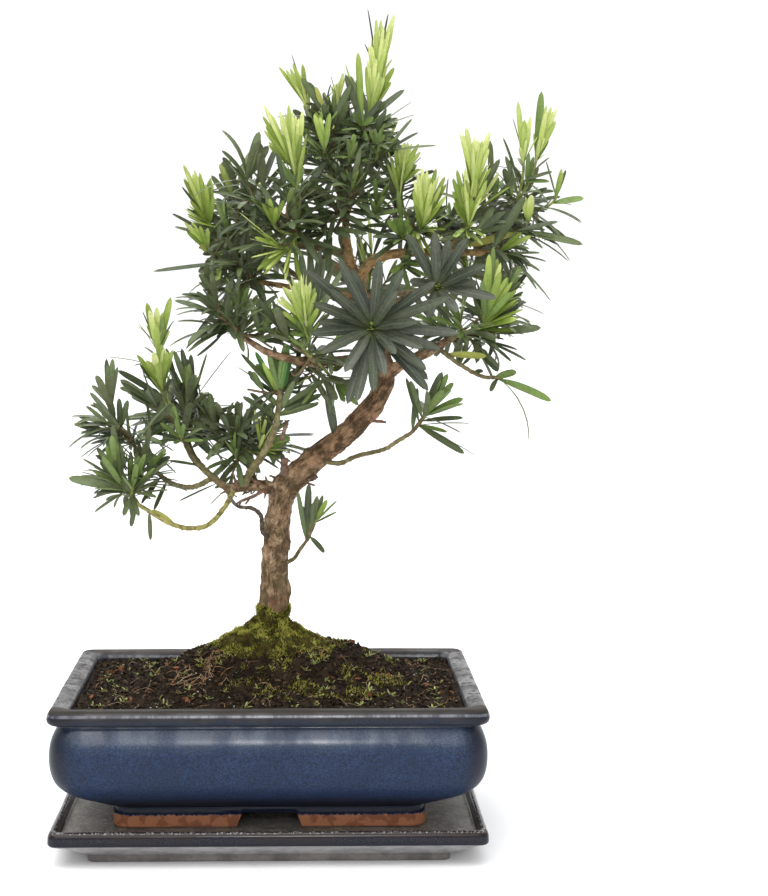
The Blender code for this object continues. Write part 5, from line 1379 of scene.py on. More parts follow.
def smooth_shaded(obj, angle=40):
    activate(obj)
    bpy.ops.object.shade_smooth_by_angle(angle=math.radians(angle))


def make_tray(finish):
    obj = raise_rings(profile_rings(TRAY_PROFILE, TRAY_BAND_BOTTOM))
    ripple(obj, POT_WAVE * MM, 22, above=TRAY_FOOT_TOP * MM)
    smooth_shaded(obj, 50)
    return seat(obj, "glazed_tray", finish, ["tray"])


def make_pot(finish):
    obj = raise_rings(profile_rings(POT_PROFILE))
    ripple(obj, POT_WAVE * MM, 18, 5.0)
    smooth_shaded(obj, 60)
    return seat(obj, "glazed_pot", finish, ["pot"])


def cut_with(obj, cutter):
    modifier = obj.modifiers.new("cut", "BOOLEAN")
    modifier.operation = "DIFFERENCE"
    modifier.object = cutter
    apply_modifiers(obj)
    bpy.data.objects.remove(cutter, do_unlink=True)


def make_feet(finish):
    """Four clay feet: a low wall whose middle and four side openings are cut away."""
    length, width = FOOT_PLAN
    wall = raise_rings([
        plan_ring(length, width, FOOT_CORNER, FOOT_BOTTOM), plan_ring(length, width, FOOT_CORNER, FOOT_TOP),
    ])
    past = 5
    inner = raise_rings([
        plan_ring(length - FOOT_WALL, width - FOOT_WALL, FOOT_CORNER / 2, FOOT_BOTTOM - past),
        plan_ring(length - FOOT_WALL, width - FOOT_WALL, FOOT_CORNER / 2, FOOT_TOP + past),
    ])
    cut_with(wall, inner)
    for turn in (0, math.pi / 2):
        bpy.ops.mesh.primitive_cube_add(size=1)
        wedge = bpy.context.object
        for vert in wedge.data.vertices:
            top = vert.co.z > 0
            vert.co.x *= (FOOT_OPENING_TOP if top else FOOT_OPENING_BOTTOM) * MM
            vert.co.y *= POT_LENGTH * MM
            vert.co.z = (FOOT_OPENING_HEIGHT if top else FOOT_BOTTOM - past) * MM
        wedge.rotation_euler.z = turn
        cut_with(wall, wedge)
    soften = wall.modifiers.new("worn_edge", "BEVEL")
    soften.width = 0.8 * MM
    soften.segments = 2
    soften.limit_method = "ANGLE"
    apply_modifiers(wall)
    smooth_shaded(wall, 40)
    return seat(wall, "clay_feet", finish)


def soil_height(x, y):
    """The soil's height in mm at this place, before its crumbs."""
    distance = math.hypot(x if x < 0 else x * 0.8, y * SOIL_STEEPER)
    for (near, high), (far, low) in zip(SOIL_HEAP, SOIL_HEAP[1:]):
        if distance <= far:
            share = (distance - near) / (far - near)
            return high + (low - high) * share
    return SOIL_HEAP[-1][1]


def soil_lump(x, y):
    """The soil's unevenness in mm: lumps of a few millimetres and coarse grains."""
    coarse = noise.noise(Vector((x / 14, y / 14, 1.7))) * 2.2
    middle = noise.noise(Vector((x / 5, y / 5, 4.2))) * 1.6
    fine = abs(noise.noise(Vector((x / 1.9, y / 1.9, 9.1)))) * 1.4
    return coarse + middle + fine


def make_soil(finish):
    """A grid whose rim is drawn to the pot's wall and whose face is heaped and rough."""
    half_length = POT_LENGTH / 2 - SOIL_WALL
    half_width = POT_WIDTH / 2 - SOIL_WALL
    corner = 9
    deselect()
    bpy.ops.mesh.primitive_grid_add(x_subdivisions=190, y_subdivisions=126, size=2)
    obj = bpy.context.object
    for vert in obj.data.vertices:
        x = vert.co.x * half_length
        y = vert.co.y * half_width
        past = Vector((max(abs(x) - half_length + corner, 0), max(abs(y) - half_width + corner, 0)))
        if past.length > corner:
            past = past * (corner / past.length)
            x = math.copysign(half_length - corner + past.x, x)
            y = math.copysign(half_width - corner + past.y, y)
        vert.co = Vector((x, y, soil_height(x, y) + soil_lump(x, y))) * MM
    bpy.ops.object.mode_set(mode="EDIT")
    bpy.ops.mesh.select_all(action="SELECT")
    bpy.ops.mesh.region_to_loop()
    bpy.ops.mesh.extrude_region_move(TRANSFORM_OT_translate={"value": (0, 0, -12 * MM)})
    bpy.ops.mesh.edge_face_add()
    bpy.ops.mesh.select_all(action="SELECT")
    bpy.ops.mesh.normals_make_consistent(inside=False)
    bpy.ops.object.mode_set(mode="OBJECT")
    smooth_shaded(obj, 80)
    return seat(obj, "potting_soil", finish, ["soil"])


class Heap:
    """The corners and faces of many small shapes, gathered to become one mesh."""

    def __init__(self):
        self.points = []
        self.faces = []
        self.marks = []
        self.shades = []
        self.count = 0

    def add(self, points, faces, marks=None, shade=0.0):
        self.points.append(points)
        self.faces += [tuple(self.count + i for i in face) for face in faces]
        if marks is not None:
            self.marks.append(marks)
        self.shades.append(np.full(len(points), shade))
        self.count += len(points)

    def mesh_object(self, name):
        mesh = bpy.data.meshes.new(name)
        mesh.from_pydata(np.concatenate(self.points).tolist(), [], self.faces)
        if self.marks:
            layer = mesh.uv_layers.new(name="leaf")
            layer.uv.foreach_set("vector", np.concatenate(self.marks).astype(np.float32).ravel())
        shade = mesh.attributes.new("shade", "FLOAT", "POINT")
        shade.data.foreach_set("value", np.concatenate(self.shades).astype(np.float32))
        mesh.shade_smooth()
        mesh.set_sharp_from_angle(angle=math.radians(50))
        obj = bpy.data.objects.new(name, mesh)
        bpy.context.scene.collection.objects.link(obj)
        return obj


def smooth_line(points, step):
    """Points with radius along a smooth curve through the given ones, in metres."""
    given = [Vector(point) * MM for point in points]
    given = [2 * given[0] - given[1]] + given + [2 * given[-1] - given[-2]]
    line = []
    for a, b, c, d in zip(given, given[1:], given[2:], given[3:]):
        pieces = max(1, round((c.xyz - b.xyz).length / step))
        for piece in range(pieces):
            t = piece / pieces
            second = (2 * a - 5 * b + 4 * c - d) * t * t
            line.append(0.5 * (2 * b + (c - a) * t + second + (3 * b - a - 3 * c + d) * t**3))
    return line + [given[-2]]


def limb_points(limb):
    """The limb's given points with a radius each, thicker where it leaves its parent."""
    count = len(limb.line) - 1
    return [
        (*place, limb.thick + (limb.thin - limb.thick) * i / count) for i, place in enumerate(limb.line)
    ]


def tube(name, line, roundness):
    """A tapering limb along the line, as a mesh object with its caps closed."""
    curve = bpy.data.curves.new(name, "CURVE")
    curve.dimensions = "3D"
    curve.use_fill_caps = True
    curve.bevel_resolution = roundness
    curve.bevel_depth = 1
    spline = curve.splines.new("POLY")
    spline.points.add(len(line) - 1)
    for point, place in zip(spline.points, line):
        point.co = (*place.xyz, 1)
        point.radius = place.w
    obj = bpy.data.objects.new(name, curve)
    bpy.context.scene.collection.objects.link(obj)
    activate(obj)
    bpy.ops.object.convert(target="MESH")
    return bpy.context.object


def join(objects, name):
    deselect()
    for obj in objects:
        obj.select_set(True)
    bpy.context.view_layer.objects.active = objects[0]
    bpy.ops.object.join()
    objects[0].name = name
    return objects[0]


class LimbMap:
    """Closely spaced points along all limbs, and where on its limb any place near them lies."""

    def __init__(self, lines):
        self.points = []
        self.frames = []
        for number, line in enumerate(lines):
            gone = number * 0.217
            across = None
            for a, b in zip(line, line[1:]):
                step = (b.xyz - a.xyz).length
                ahead = (b.xyz - a.xyz).normalized()
                if across is None:
                    across = ahead.orthogonal()
                across = (across - ahead * across.dot(ahead)).normalized()
                count = max(1, math.ceil(step / (1.5 * MM)))
                for i in range(count + 1):
                    self.points.append(a.lerp(b, i / count))
                    self.frames.append((across, ahead.cross(across), ahead, gone + step * i / count))
                gone += step
        self.tree = KDTree(len(self.points))
        for i, point in enumerate(self.points):
            self.tree.insert(point.xyz, i)
        self.tree.balance()

    def nearest(self, place):
        """The radius of the nearest limb and the distance from its line."""
        _, index, distance = self.tree.find(place)
        return self.points[index].w, distance

    def along_limb(self, place):
        """The place as across, beside and along its limb, and the limb's radius there."""
        index = self.tree.find(place)[1]
        away = place - self.points[index].xyz
        across, beside, ahead, gone = self.frames[index]
        return Vector((away.dot(across), away.dot(beside), gone + away.dot(ahead))), self.points[index].w


def flake_at(place, width, length):
    """The scaly pattern at a place in mm: the flake's own height, its edge and its lifted end."""
    gaps, seeds = noise.voronoi(Vector((place.x / width, place.y / width, place.z / length)))
    edge = 1 - min((gaps[1] - gaps[0]) / 0.24, 1)
    return noise.cell(seeds[0] * 7.3), edge, place.z / length - seeds[0].z


def bark_relief(obj, limbs):
    """Knots, lumps and scaly flakes drawn out along each limb, and the marks that its finish reads."""
    knots = [(Vector(place) * MM, width * MM, height * MM) for place, width, height in KNOTS]
    moves = []
    marks = []
    places = []
    for vert in obj.data.vertices:
        place = vert.co
        local, radius = limbs.along_limb(place)
        warp = noise.noise_vector(place * 210) * 2.2
        warped = local / MM + Vector((warp.x, warp.y, warp.z * 2))
        shade, edge, lift = flake_at(warped, *FLAKES[0])
        small_shade, small_edge, _ = flake_at(warped + UP * 50, *FLAKES[1])
        lumps = noise.noise(place * 62) * 1.5 + noise.noise(place * 170 + UP) * 1.1
        ridges = noise.noise(Vector((local.x * 560, local.y * 560, local.z * 170))) * 0.4
        scales = shade * 0.2 - edge * 0.26 + lift * 0.3 + small_shade * 0.16 - small_edge * 0.12
        fine = noise.noise(place * 900) * 0.18 + ridges
        move = (lumps + scales + fine) * min(radius / (9 * MM), 1.0) * MM
        for centre, width, height in knots:
            away = (place - centre).length
            if away < 2.5 * width:
                move += height * math.exp(-((away / width) ** 2))
        moves.append(move)
        marks.append((shade * 0.5 + 0.5, edge, small_shade * 0.5 + 0.5))
        places.append(local)
    for name, values in (("flakes", marks), ("limb_place", places)):
        layer = obj.data.attributes.new(name, "FLOAT_VECTOR", "POINT")
        layer.data.foreach_set("vector", np.array(values, dtype=np.float32).ravel())
    for vert, move, normal in zip(obj.data.vertices, moves, [v.normal.copy() for v in obj.data.vertices]):
        vert.co += normal * move


def make_bark(lines, limbs, finish):
    """The trunk and its stout boughs, fused under one bark."""
    names = ["trunk"] + [name for name, limb in LIMBS.items() if limb.thick >= FUSED_LIMB]
    pieces = []
    for name in names:
        line = [point.copy() for point in lines[name]]
        if name != "trunk":
            line[0].w *= LIMB_COLLAR
        pieces.append(tube(name + "_core", line, 4))
    obj = join(pieces, "bark")
    activate(obj)
    obj.data.remesh_voxel_size = BARK_VOXEL
    bpy.ops.object.voxel_remesh()
    smoother = obj.modifiers.new("soften", "SMOOTH")
    smoother.iterations = 3
    apply_modifiers(obj)
    bark_relief(obj, limbs)
    obj.data.shade_smooth()
    return seat(obj, "trunk_and_boughs", finish, names)


def ring_tube(heap, line, sides, bumps=0.0, shade=0.0):
    """A tapering tube of rings along the line, closed at both ends, with small bumps."""
    points = []
    across = None
    for i, place in enumerate(line):
        ahead = line[min(i + 1, len(line) - 1)].xyz - line[max(i - 1, 0)].xyz
        ahead.normalize()
        if across is None:
            across = ahead.orthogonal().normalized()
        across = (across - ahead * across.dot(ahead)).normalized()
        beside = ahead.cross(across)
        for side in range(sides):
            angle = 2 * math.pi * side / sides
            out = across * math.cos(angle) + beside * math.sin(angle)
            swell = 1 + bumps * noise.noise((place.xyz + out * place.w) * 700)
            points.append(place.xyz + out * place.w * swell)
    faces = []
    for i in range(len(line) - 1):
        for side in range(sides):
            j = (side + 1) % sides
            low = i * sides
            faces.append((low + side, low + j, low + sides + j, low + sides + side))
    faces.append(tuple(range(sides))[::-1])
    last = (len(line) - 1) * sides
    faces.append(tuple(range(last, last + sides)))
    heap.add(np.array([tuple(point) for point in points]), faces, None, shade)


def make_thin_limbs(finishes):
    """The slender boughs and twigs, with the swellings where leaves have dropped."""
    slender = [name for name, limb in LIMBS.items() if limb.thick < FUSED_LIMB]
    apart = {"green_boughs": ["low_left_loop", "low_left_loop_end"], "dry_twig": ["dead_twig"]}
    apart["slender_boughs"] = [name for name in slender if name not in sum(apart.values(), [])]
    for piece, names in apart.items():
        heap = Heap()
        for name in names:
            line = smooth_line(limb_points(LIMBS[name]), 1.6 * MM)
            line[0].w *= LIMB_COLLAR
            ring_tube(heap, line, 10, 0.34)
        seat(heap.mesh_object(piece), piece, finishes[piece], names)


def make_stubs(finish):
    """The broken twigs on the trunk, and the shreds of bark under the lowest bough."""
    rng = random.Random(3)
    heap = Heap()
    for points in STUBS:
        ring_tube(heap, smooth_line(points, 1.2 * MM), 8, 0.4)
    bough = smooth_line(limb_points(LIMBS["bough_low_left"]), 3 * MM)
    for _ in range(SHREDS):
        root = rng.choice(bough[2:])
        away = Vector((rng.gauss(-0.6, 0.8), rng.gauss(-0.4, 0.6), rng.gauss(0, 0.8))).normalized()
        bend = away + Vector((rng.gauss(-0.4, 0.4), 0, rng.gauss(0, 0.6)))
        end = root.xyz + (away * rng.uniform(3, 6.5) + bend * rng.uniform(1, 5)) * MM
        line = bent(root.xyz, root.xyz + away * root.w * 1.5, end, rng.uniform(0.9, 1.7) * MM, 0.4 * MM, 5)
        ring_tube(heap, line, 6, 0.4, rng.random())
    return seat(heap.mesh_object("stubs"), "broken_stubs", finish)


def bent(start, bend, end, thick, thin, count):
    """Points along a curve that leaves start towards the bend and arrives from it."""
    line = []
    for i in range(count + 1):
        t = i / count
        place = start * (1 - t) ** 2 + bend * 2 * t * (1 - t) + end * t * t
        line.append(Vector((*place, thick + (thin - thick) * t)))
    return line


def end_direction(line):
    return (line[-1].xyz - line[-2].xyz).normalized()


def stem_line(mass, lines):
    """The stem that carries a mass's twigs, from its bough's end or from inside the trunk."""
    parent = lines[mass.bough]
    ends = [Vector((shoot.x, shoot.y, shoot.z)) * MM for shoot in mass.shoots]
    middle = sum(ends, Vector()) / len(ends)
    if mass.height is None:
        start = parent[-1].xyz
        thick = parent[-1].w
        straight = start + end_direction(parent) * 3 * MM
    else:
        found = min(parent, key=lambda point: abs(point.z - mass.height * MM))
        start = found.xyz
        thick = 1.9 * MM
        straight = start.lerp(middle, 0.25)
    reach = LONE_STEM_REACH if len(ends) == 1 else STEM_REACH
    return bent(start, straight, start.lerp(middle, reach), thick, TWIG_THICK, 12)


def twig_from(stem, place, end, heading, count=10):
    """A twig that leaves the stem at this share of its length and ends in this heading."""
    place *= len(stem) - 1
    low = min(int(place), len(stem) - 2)
    root = stem[low].lerp(stem[low + 1], place - low)
    bend = end - Vector(heading).normalized() * (end - root.xyz).length * 0.45
    return bent(root.xyz, bend, end, min(root.w, TWIG_THICK) * 0.9, TWIG_THIN, count)


def along(line, back):
    """The place this far back from a line's end, and the line's direction there."""
    for later, earlier in zip(line[::-1], line[-2::-1]):
        step = later.xyz - earlier.xyz
        if back <= step.length:
            return later.xyz - step.normalized() * back, step.normalized()
        back -= step.length
    return line[0].xyz.copy(), (line[1].xyz - line[0].xyz).normalized()


def leaf_faces():
    """The faces of a leaf of rings of six corners, from its foot to its tip, and their marks."""
    across = (0.0, 0.13, 0.25, 0.37, 0.5)
    faces = []
    marks = []
    rings = len(LEAF_RINGS)
    tip = rings * 6
    ends = (*LEAF_RINGS, 1.0)
    # A ring's corners run left edge, top left, rib, top right, right edge, and under the rib.
    upper = ((0, 1), (1, 2), (2, 3), (3, 4))
    lower = ((4, 5, 0.5, 0.75), (5, 0, 0.75, 1.0))
    for ring in range(rings - 1):
        low = ring * 6
        v0, v1 = ends[ring], ends[ring + 1]
        for a, b in upper:
            faces.append((low + a, low + b, low + 6 + b, low + 6 + a))
            marks += [(across[a], v0), (across[b], v0), (across[b], v1), (across[a], v1)]
        for a, b, u0, u1 in lower:
            faces.append((low + a, low + b, low + 6 + b, low + 6 + a))
            marks += [(u0, v0), (u1, v0), (u1, v1), (u0, v1)]
    low = (rings - 1) * 6
    for a, b in upper:
        faces.append((low + a, low + b, tip))
        marks += [(across[a], ends[-2]), (across[b], ends[-2]), (0.25, 1.0)]
    for a, b, u0, u1 in lower:
        faces.append((low + a, low + b, tip))
        marks += [(u0, ends[-2]), (u1, ends[-2]), (0.75, 1.0)]
    faces.append((5, 4, 3, 2, 1, 0))
    marks += [(0.75, 0.0), (0.5, 0.0), (0.37, 0.0), (0.25, 0.0), (0.13, 0.0), (0.0, 0.0)]
    return faces, np.array(marks)


LEAF_FACES, LEAF_MARKS = leaf_faces()


def leaf_points(root, direction, face, length, width, bend, twist, outline=LEAF_HALF):
    """The corners of a leaf that bends away from its face side, in rings of six."""
    points = []
    side = face.cross(direction).normalized()
    bend = max(abs(bend), 0.02) * (1 if bend >= 0 else -1)
    for share, half in zip((*LEAF_RINGS, 1.0), (*outline, 0.0)):
        angle = bend * share
        centre = root + (direction * math.sin(angle) - face * (1 - math.cos(angle))) * (length / bend)
        normal = face * math.cos(angle) + direction * math.sin(angle)
        turned = Quaternion(direction, twist * share)
        across = turned @ side
        normal = turned @ normal
        if half == 0.0:
            points.append(tuple(centre))
            continue
        reach = half * width / 2
        thick = 0.035 * width + 0.12 * MM
        dish = 0.16 * reach
        for offset, rise in ((-1, dish), (-0.5, thick * 0.9), (0, -0.25 * thick), (0.5, thick * 0.9), (1, dish)):
            points.append(tuple(centre + across * reach * offset + normal * (rise - 0.3 * dish)))
        points.append(tuple(centre - normal * (thick + 0.5 * dish)))
    return np.array(points)


def seen_at(point):
    """Where a point stands before the eye, in mm across and up on the plane y = 0."""
    share = EYE.y / (EYE.y - point[1])
    return (EYE.x + (point[0] - EYE.x) * share) / MM, (EYE.z + (point[2] - EYE.z) * share) / MM


def within(outline, x, z):
    inside = False
    for (ax, az), (bx, bz) in zip(outline, outline[-1:] + outline[:-1]):
        if (az > z) != (bz > z) and x < (bx - ax) * (z - az) / (bz - az) + ax:
            inside = not inside
    return inside


def fits_outline(points):
    """Whether a leaf's tip lies inside the crown's outline, and no gap lies under it."""
    if not within(CROWN_EDGE, *seen_at(points[-1])):
        return False
    for at in (-1, 38, 26):
        x, z = seen_at(points[at])
        if any(within(gap, x, z) for gap in CROWN_GAPS):
            return False
    return True


class Crown:
    """All leaves, gathered by tint, with what they have to stay clear of."""

    def __init__(self, limbs):
        self.limbs = limbs
        self.heaps = {}
        self.twigs = {"green_twigs": Heap(), "brown_twigs": Heap()}
        self.twig_points = [point.xyz for point in limbs.points]
        self.waiting = []
        self.young = []
        self.leaves = 0

    def touches_limb(self, points):
        """Whether any point, away from the leaf's foot, lies in the trunk or a bough."""
        for point in points[12::3]:
            radius, distance = self.limbs.nearest(point)
            if distance < radius + 0.6 * MM:
                return True
        return False

    def keep(self, tint, points, shade):
        heap = self.heaps.setdefault(tint, [Heap()])
        if len(heap[-1].faces) > 1900 * len(LEAF_FACES):
            heap.append(Heap())
        heap[-1].add(points, LEAF_FACES, LEAF_MARKS, shade)
        self.leaves += 1

    def twig(self, line, name, rng):
        ring_tube(self.twigs[name], line, 6, 0.22, rng.random())
        self.twig_points += [point.xyz for point in line]

    def shoot(self, twig, bears, size, rng):
        """A twig's leaves, whorl by whorl, each a golden turn on from the last."""
        self.twig(twig, "green_twigs" if bears in GREEN_TWIGS else "brown_twigs", rng)
        turn = rng.uniform(0, 2 * math.pi)
        for whorl in HABITS[bears]:
            for i in range(whorl.count):
                turn += GOLDEN_ANGLE + rng.uniform(-0.25, 0.25)
                share = i / (whorl.count - 1)
                back = (whorl.start + (whorl.stop - whorl.start) * share) * size * MM + 0.3 * MM
                lean = math.radians(whorl.low + (whorl.high - whorl.low) * share + rng.uniform(-10, 10))
                length = whorl.length * (0.35 + 0.65 * size) * rng.uniform(0.76, 1.1) * MM
                width = whorl.width * rng.uniform(0.84, 1.12) * (0.5 + 0.5 * size) * MM
                arch = math.radians(whorl.arch) * rng.uniform(0.2, 1.6)
                root, axis = along(twig, back)
                side = axis.orthogonal().normalized()
                side.rotate(Quaternion(axis, turn))
                level = 1 - abs(axis.z)
                side.z *= 1 - FLATTEN * level
                direction = axis * math.cos(lean) + side * math.sin(lean)
                direction.z += 0.1 * math.sin(lean)
                direction.normalize()
                outward = -OUTWARD if root.y < BACK_HALF else OUTWARD
                face = axis.lerp(Vector((0, outward, 1)), level)
                face = (face - direction * face.dot(direction)).normalized()
                shade = rng.random()
                if whorl.tint == "young":
                    shade = 0.5 * (1 - share) + 0.5 * shade
                outline = LANCE_HALF if whorl.tint in LANCE_TINTS else LEAF_HALF
                twist = rng.gauss(0, 0.22)
                for share in SHORTER:
                    points = leaf_points(root, direction, face, length * share, width, arch, twist, outline)
                    if self.touches_limb(points):
                        break
                    if fits_outline(points):
                        self.waiting.append((whorl.tint, points, shade))
                        break

    def placed_leaves(self, leaf, points_tree, rng):
        """Leaves with places of their own, whose foot is set on the nearest twig."""
        foot = points_tree.find(Vector(leaf.foot) * MM)[0]
        half = math.radians(max(abs(leaf.arch), 1)) / 2 * (1 if leaf.arch >= 0 else -1)
        outline = LANCE_HALF if leaf.tint in LANCE_TINTS else LEAF_HALF
        for tip in leaf.tips:
            chord = Vector(tip) * MM - foot
            direction = chord.normalized()
            face = Vector((0, -leaf.front, 1 - 0.65 * leaf.front))
            face = (face - direction * face.dot(direction)).normalized()
            turned = direction * math.cos(half) + face * math.sin(half)
            face = face * math.cos(half) - direction * math.sin(half)
            length = chord.length * half / math.sin(half)
            twist = rng.gauss(0, 0.08)
            points = leaf_points(foot, turned, face, length, leaf.width * MM, 2 * half, twist, outline)
            self.keep(leaf.tint, points, rng.random())
            if leaf.tint in PLACED_TINTS:
                self.young += [(*seen_at(point), point[1]) for point in points[14::6]]

    def keep_waiting(self):
        """Keeps the grown leaves, but for old ones right in front of a placed young one."""
        tree = KDTree(len(self.young))
        for i, (x, z, _) in enumerate(self.young):
            tree.insert((x, 0, z), i)
        tree.balance()
        for tint, points, shade in self.waiting:
            hides = False
            if tint in ("dark", "fresh"):
                for point in points[14::6]:
                    x, z = seen_at(point)
                    near = tree.find_range((x, 0, z), CLEAR_VIEW)
                    hides = hides or any(self.young[i][2] > point[1] for _, i, _ in near)
            if not hides:
                self.keep(tint, points, shade)


def grow_mass(crown, mass, stem, twigs, rng):
    crown.twig(stem, "brown_twigs", rng)
    for shoot, twig in zip(mass.shoots, twigs):
        crown.shoot(twig, shoot.bears, shoot.size, rng)
        for _ in range(SIDE_SHOOTS.get(shoot.bears, 0)):
            share = rng.uniform(0.25, 0.65)
            root, axis = along(twig, (1 - share) * (twig[-1].xyz - twig[0].xyz).length)
            side = axis.orthogonal().normalized()
            side.rotate(Quaternion(axis, rng.uniform(0, 2 * math.pi)))
            heading = (axis * 0.8 + side * 0.7 + UP * 0.2).normalized()
            end = root + heading * rng.uniform(12, 19) * MM
            crown.shoot(twig_from(twig, share, end, heading, 6), "side", shoot.size * 0.9, rng)


def grow_crown(lines, limbs):
    """Every mass by the same seeded rule as its solid, carried on to finer twigs and leaves."""
    rng = random.Random(SEED)
    stems = {name: stem_line(mass, lines) for name, mass in MASSES.items()}
    twigs = {}
    for name, mass in MASSES.items():
        twigs[name] = []
        for shoot in mass.shoots:
            place = rng.uniform(0.45, 0.95) if len(mass.shoots) > 1 else 1
            end = Vector((shoot.x, shoot.y, shoot.z)) * MM
            twigs[name].append(twig_from(stems[name], place, end, shoot.heading))
    crown = Crown(limbs)
    for name, mass in MASSES.items():
        grow_mass(crown, mass, stems[name], twigs[name], rng)
    points_tree = KDTree(len(crown.twig_points))
    for i, point in enumerate(crown.twig_points):
        points_tree.insert(point, i)
    points_tree.balance()
    for mass in MASSES.values():
        for leaf in mass.leaves:
            crown.placed_leaves(leaf, points_tree, rng)
    crown.keep_waiting()
    return crown


def seat_crown(crown, finishes, twig_finishes):
    for name, heap in crown.twigs.items():
        seat(heap.mesh_object(name), name, twig_finishes[name], list(MASSES))
    for tint, heaps in crown.heaps.items():
        for i, heap in enumerate(heaps):
            seat(heap.mesh_object(tint), f"leaves_{tint}_{i + 1}", finishes[tint], list(MASSES))


def make_moss(finish):
    """The mound's soft ground, which the moss stands on."""
    rings = []
    for length, width, height in smooth_rings(MOSS_MOUND, 1.6):
        rings.append(oval_ring(length, width, height, centre=(0.2 * max(height - 144, 0) - 0.5, 0)))
    obj = raise_rings(rings)
    ripple(obj, 2.8 * MM, 75)
    ripple(obj, 2.3 * MM, 150)
    ripple(obj, 1.0 * MM, 420)
    smooth_shaded(obj, 80)
    return seat(obj, "moss_mound", finish, ["moss"])


def scatter_on(obj, count, rng, keep):
    """Seeded places on the object's surface with their normals, where keep allows."""
    mesh = obj.data
    mesh.calc_loop_triangles()
    triangles = mesh.loop_triangles
    areas = np.array([triangle.area for triangle in triangles])
    bounds = np.cumsum(areas)
    found = []
    while len(found) < count:
        at = int(np.searchsorted(bounds, rng.random() * bounds[-1]))
        triangle = triangles[min(at, len(triangles) - 1)]
        a, b, c = (mesh.vertices[i].co for i in triangle.vertices)
        u, v = sorted((rng.random(), rng.random()))
        place = a * u + b * (v - u) + c * (1 - v)
        if keep(place, triangle.normal):
            found.append((place, triangle.normal.copy()))
    return found


BLADE_FACES = [(0, 1, 3), (1, 2, 3), (2, 0, 3), (2, 1, 0)]


def add_blade(heap, root, direction, length, width, rng):
    """A pointed blade of four faces."""
    across = direction.orthogonal().normalized()
    across.rotate(Quaternion(direction, rng.uniform(0, 2 * math.pi)))
    beside = direction.cross(across)
    points = [
        root + across * width, root - across * width * 0.5 + beside * width * 0.8,
        root - across * width * 0.5 - beside * width * 0.8, root + direction * length,
    ]
    heap.add(np.array([tuple(point) for point in points]), BLADE_FACES, None, rng.random())


def make_moss_blades(mound, soil, finishes):
    """Short blades of moss over the mound, and in patches on the soil beside it."""
    rng = random.Random(5)
    heaps = {tint: Heap() for tint in finishes}
    tints = list(finishes)

    def on_mound(place, normal):
        return place.z > 128 * MM

    def on_collar(place, normal):
        return place.z > 142 * MM

    def on_patch(place, normal):
        near = math.hypot(place.x - 24 * MM, (place.y + 8 * MM) * 1.2) < 80 * MM
        return near and normal.z > 0.4 and noise.noise(place * 55) > 0.05

    for surface, count, keep in ((mound, 11000, on_mound), (mound, 3500, on_collar), (soil, 6500, on_patch)):
        for place, normal in scatter_on(surface, count, rng, keep):
            lean = Vector((rng.uniform(-1, 1), rng.uniform(-1, 1), rng.uniform(-0.2, 1))) * 0.7
            direction = (normal + lean).normalized()
            patch = noise.noise(place * 90) * 1.3 + noise.noise(place * 260) * 0.5 + rng.uniform(-0.25, 0.25)
            tint = tints[0] if patch > 0.18 else tints[1] if patch > -0.12 else tints[2]
            length = rng.uniform(0.9, 2.4) * MM * (1 + 0.5 * patch)
            if rng.random() < 0.012:
                length = rng.uniform(4, 7.5) * MM
            add_blade(heaps[tint], place - normal * 0.3 * MM, direction, length, rng.uniform(0.22, 0.4) * MM, rng)
    for tint, heap in heaps.items():
        seat(heap.mesh_object(tint), tint, finishes[tint])


CHIP_CORNERS = (
    (1, 0, 0.1), (0.3, 0.9, -0.2), (-0.8, 0.6, 0.15), (-0.9, -0.5, -0.1), (0.2, -0.95, 0.2),
    (0.1, 0.1, 0.75), (0, -0.1, -0.7),
)
CHIP_FACES = [(i, (i + 1) % 5, 5) for i in range(5)] + [((i + 1) % 5, i, 6) for i in range(5)]


def add_chip(heap, place, size, flat, rng):
    """A crumb or bark chip: a rough double cone of ten faces, flattened and turned at random."""
    turn = Quaternion(Vector((rng.gauss(0, 1), rng.gauss(0, 1), rng.gauss(0, 1))).normalized(),
                      rng.uniform(0, 2 * math.pi))
    stretch = rng.uniform(0.5, 1.0)
    points = []
    for x, y, z in CHIP_CORNERS:
        corner = Vector((x * rng.uniform(0.8, 1.2), y * stretch * rng.uniform(0.8, 1.2), z * flat))
        points.append(tuple(place + turn @ corner * size))
    heap.add(np.array(points), CHIP_FACES, None, rng.random())


def make_crumbs(soil, finishes):
    """Bark chips, crumbs and grit strewn on the soil, each kind its own piece."""
    rng = random.Random(11)
    kinds = {
        "dark_crumbs": (4200, 0.7, 2.2, 0.6), "brown_chips": (1500, 0.7, 2.4, 0.35),
        "red_chips": (70, 1.0, 3.8, 0.25), "pale_grit": (330, 0.35, 0.95, 0.7),
    }

    def open_soil(place, normal):
        return normal.z > 0.2 and math.hypot(place.x, place.y) > 33 * MM

    for name, (count, small, large, flat) in kinds.items():
        heap = Heap()
        for place, normal in scatter_on(soil, count, rng, open_soil):
            size = rng.uniform(small, large) * MM
            inset_x = POT_LENGTH / 2 - 15.6 - size / MM
            inset_y = POT_WIDTH / 2 - 15.6 - size / MM
            if abs(place.x) < inset_x * MM and abs(place.y) < inset_y * MM:
                add_chip(heap, place + normal * size * 0.15, size, flat, rng)
        seat(heap.mesh_object(name), name, finishes[name])


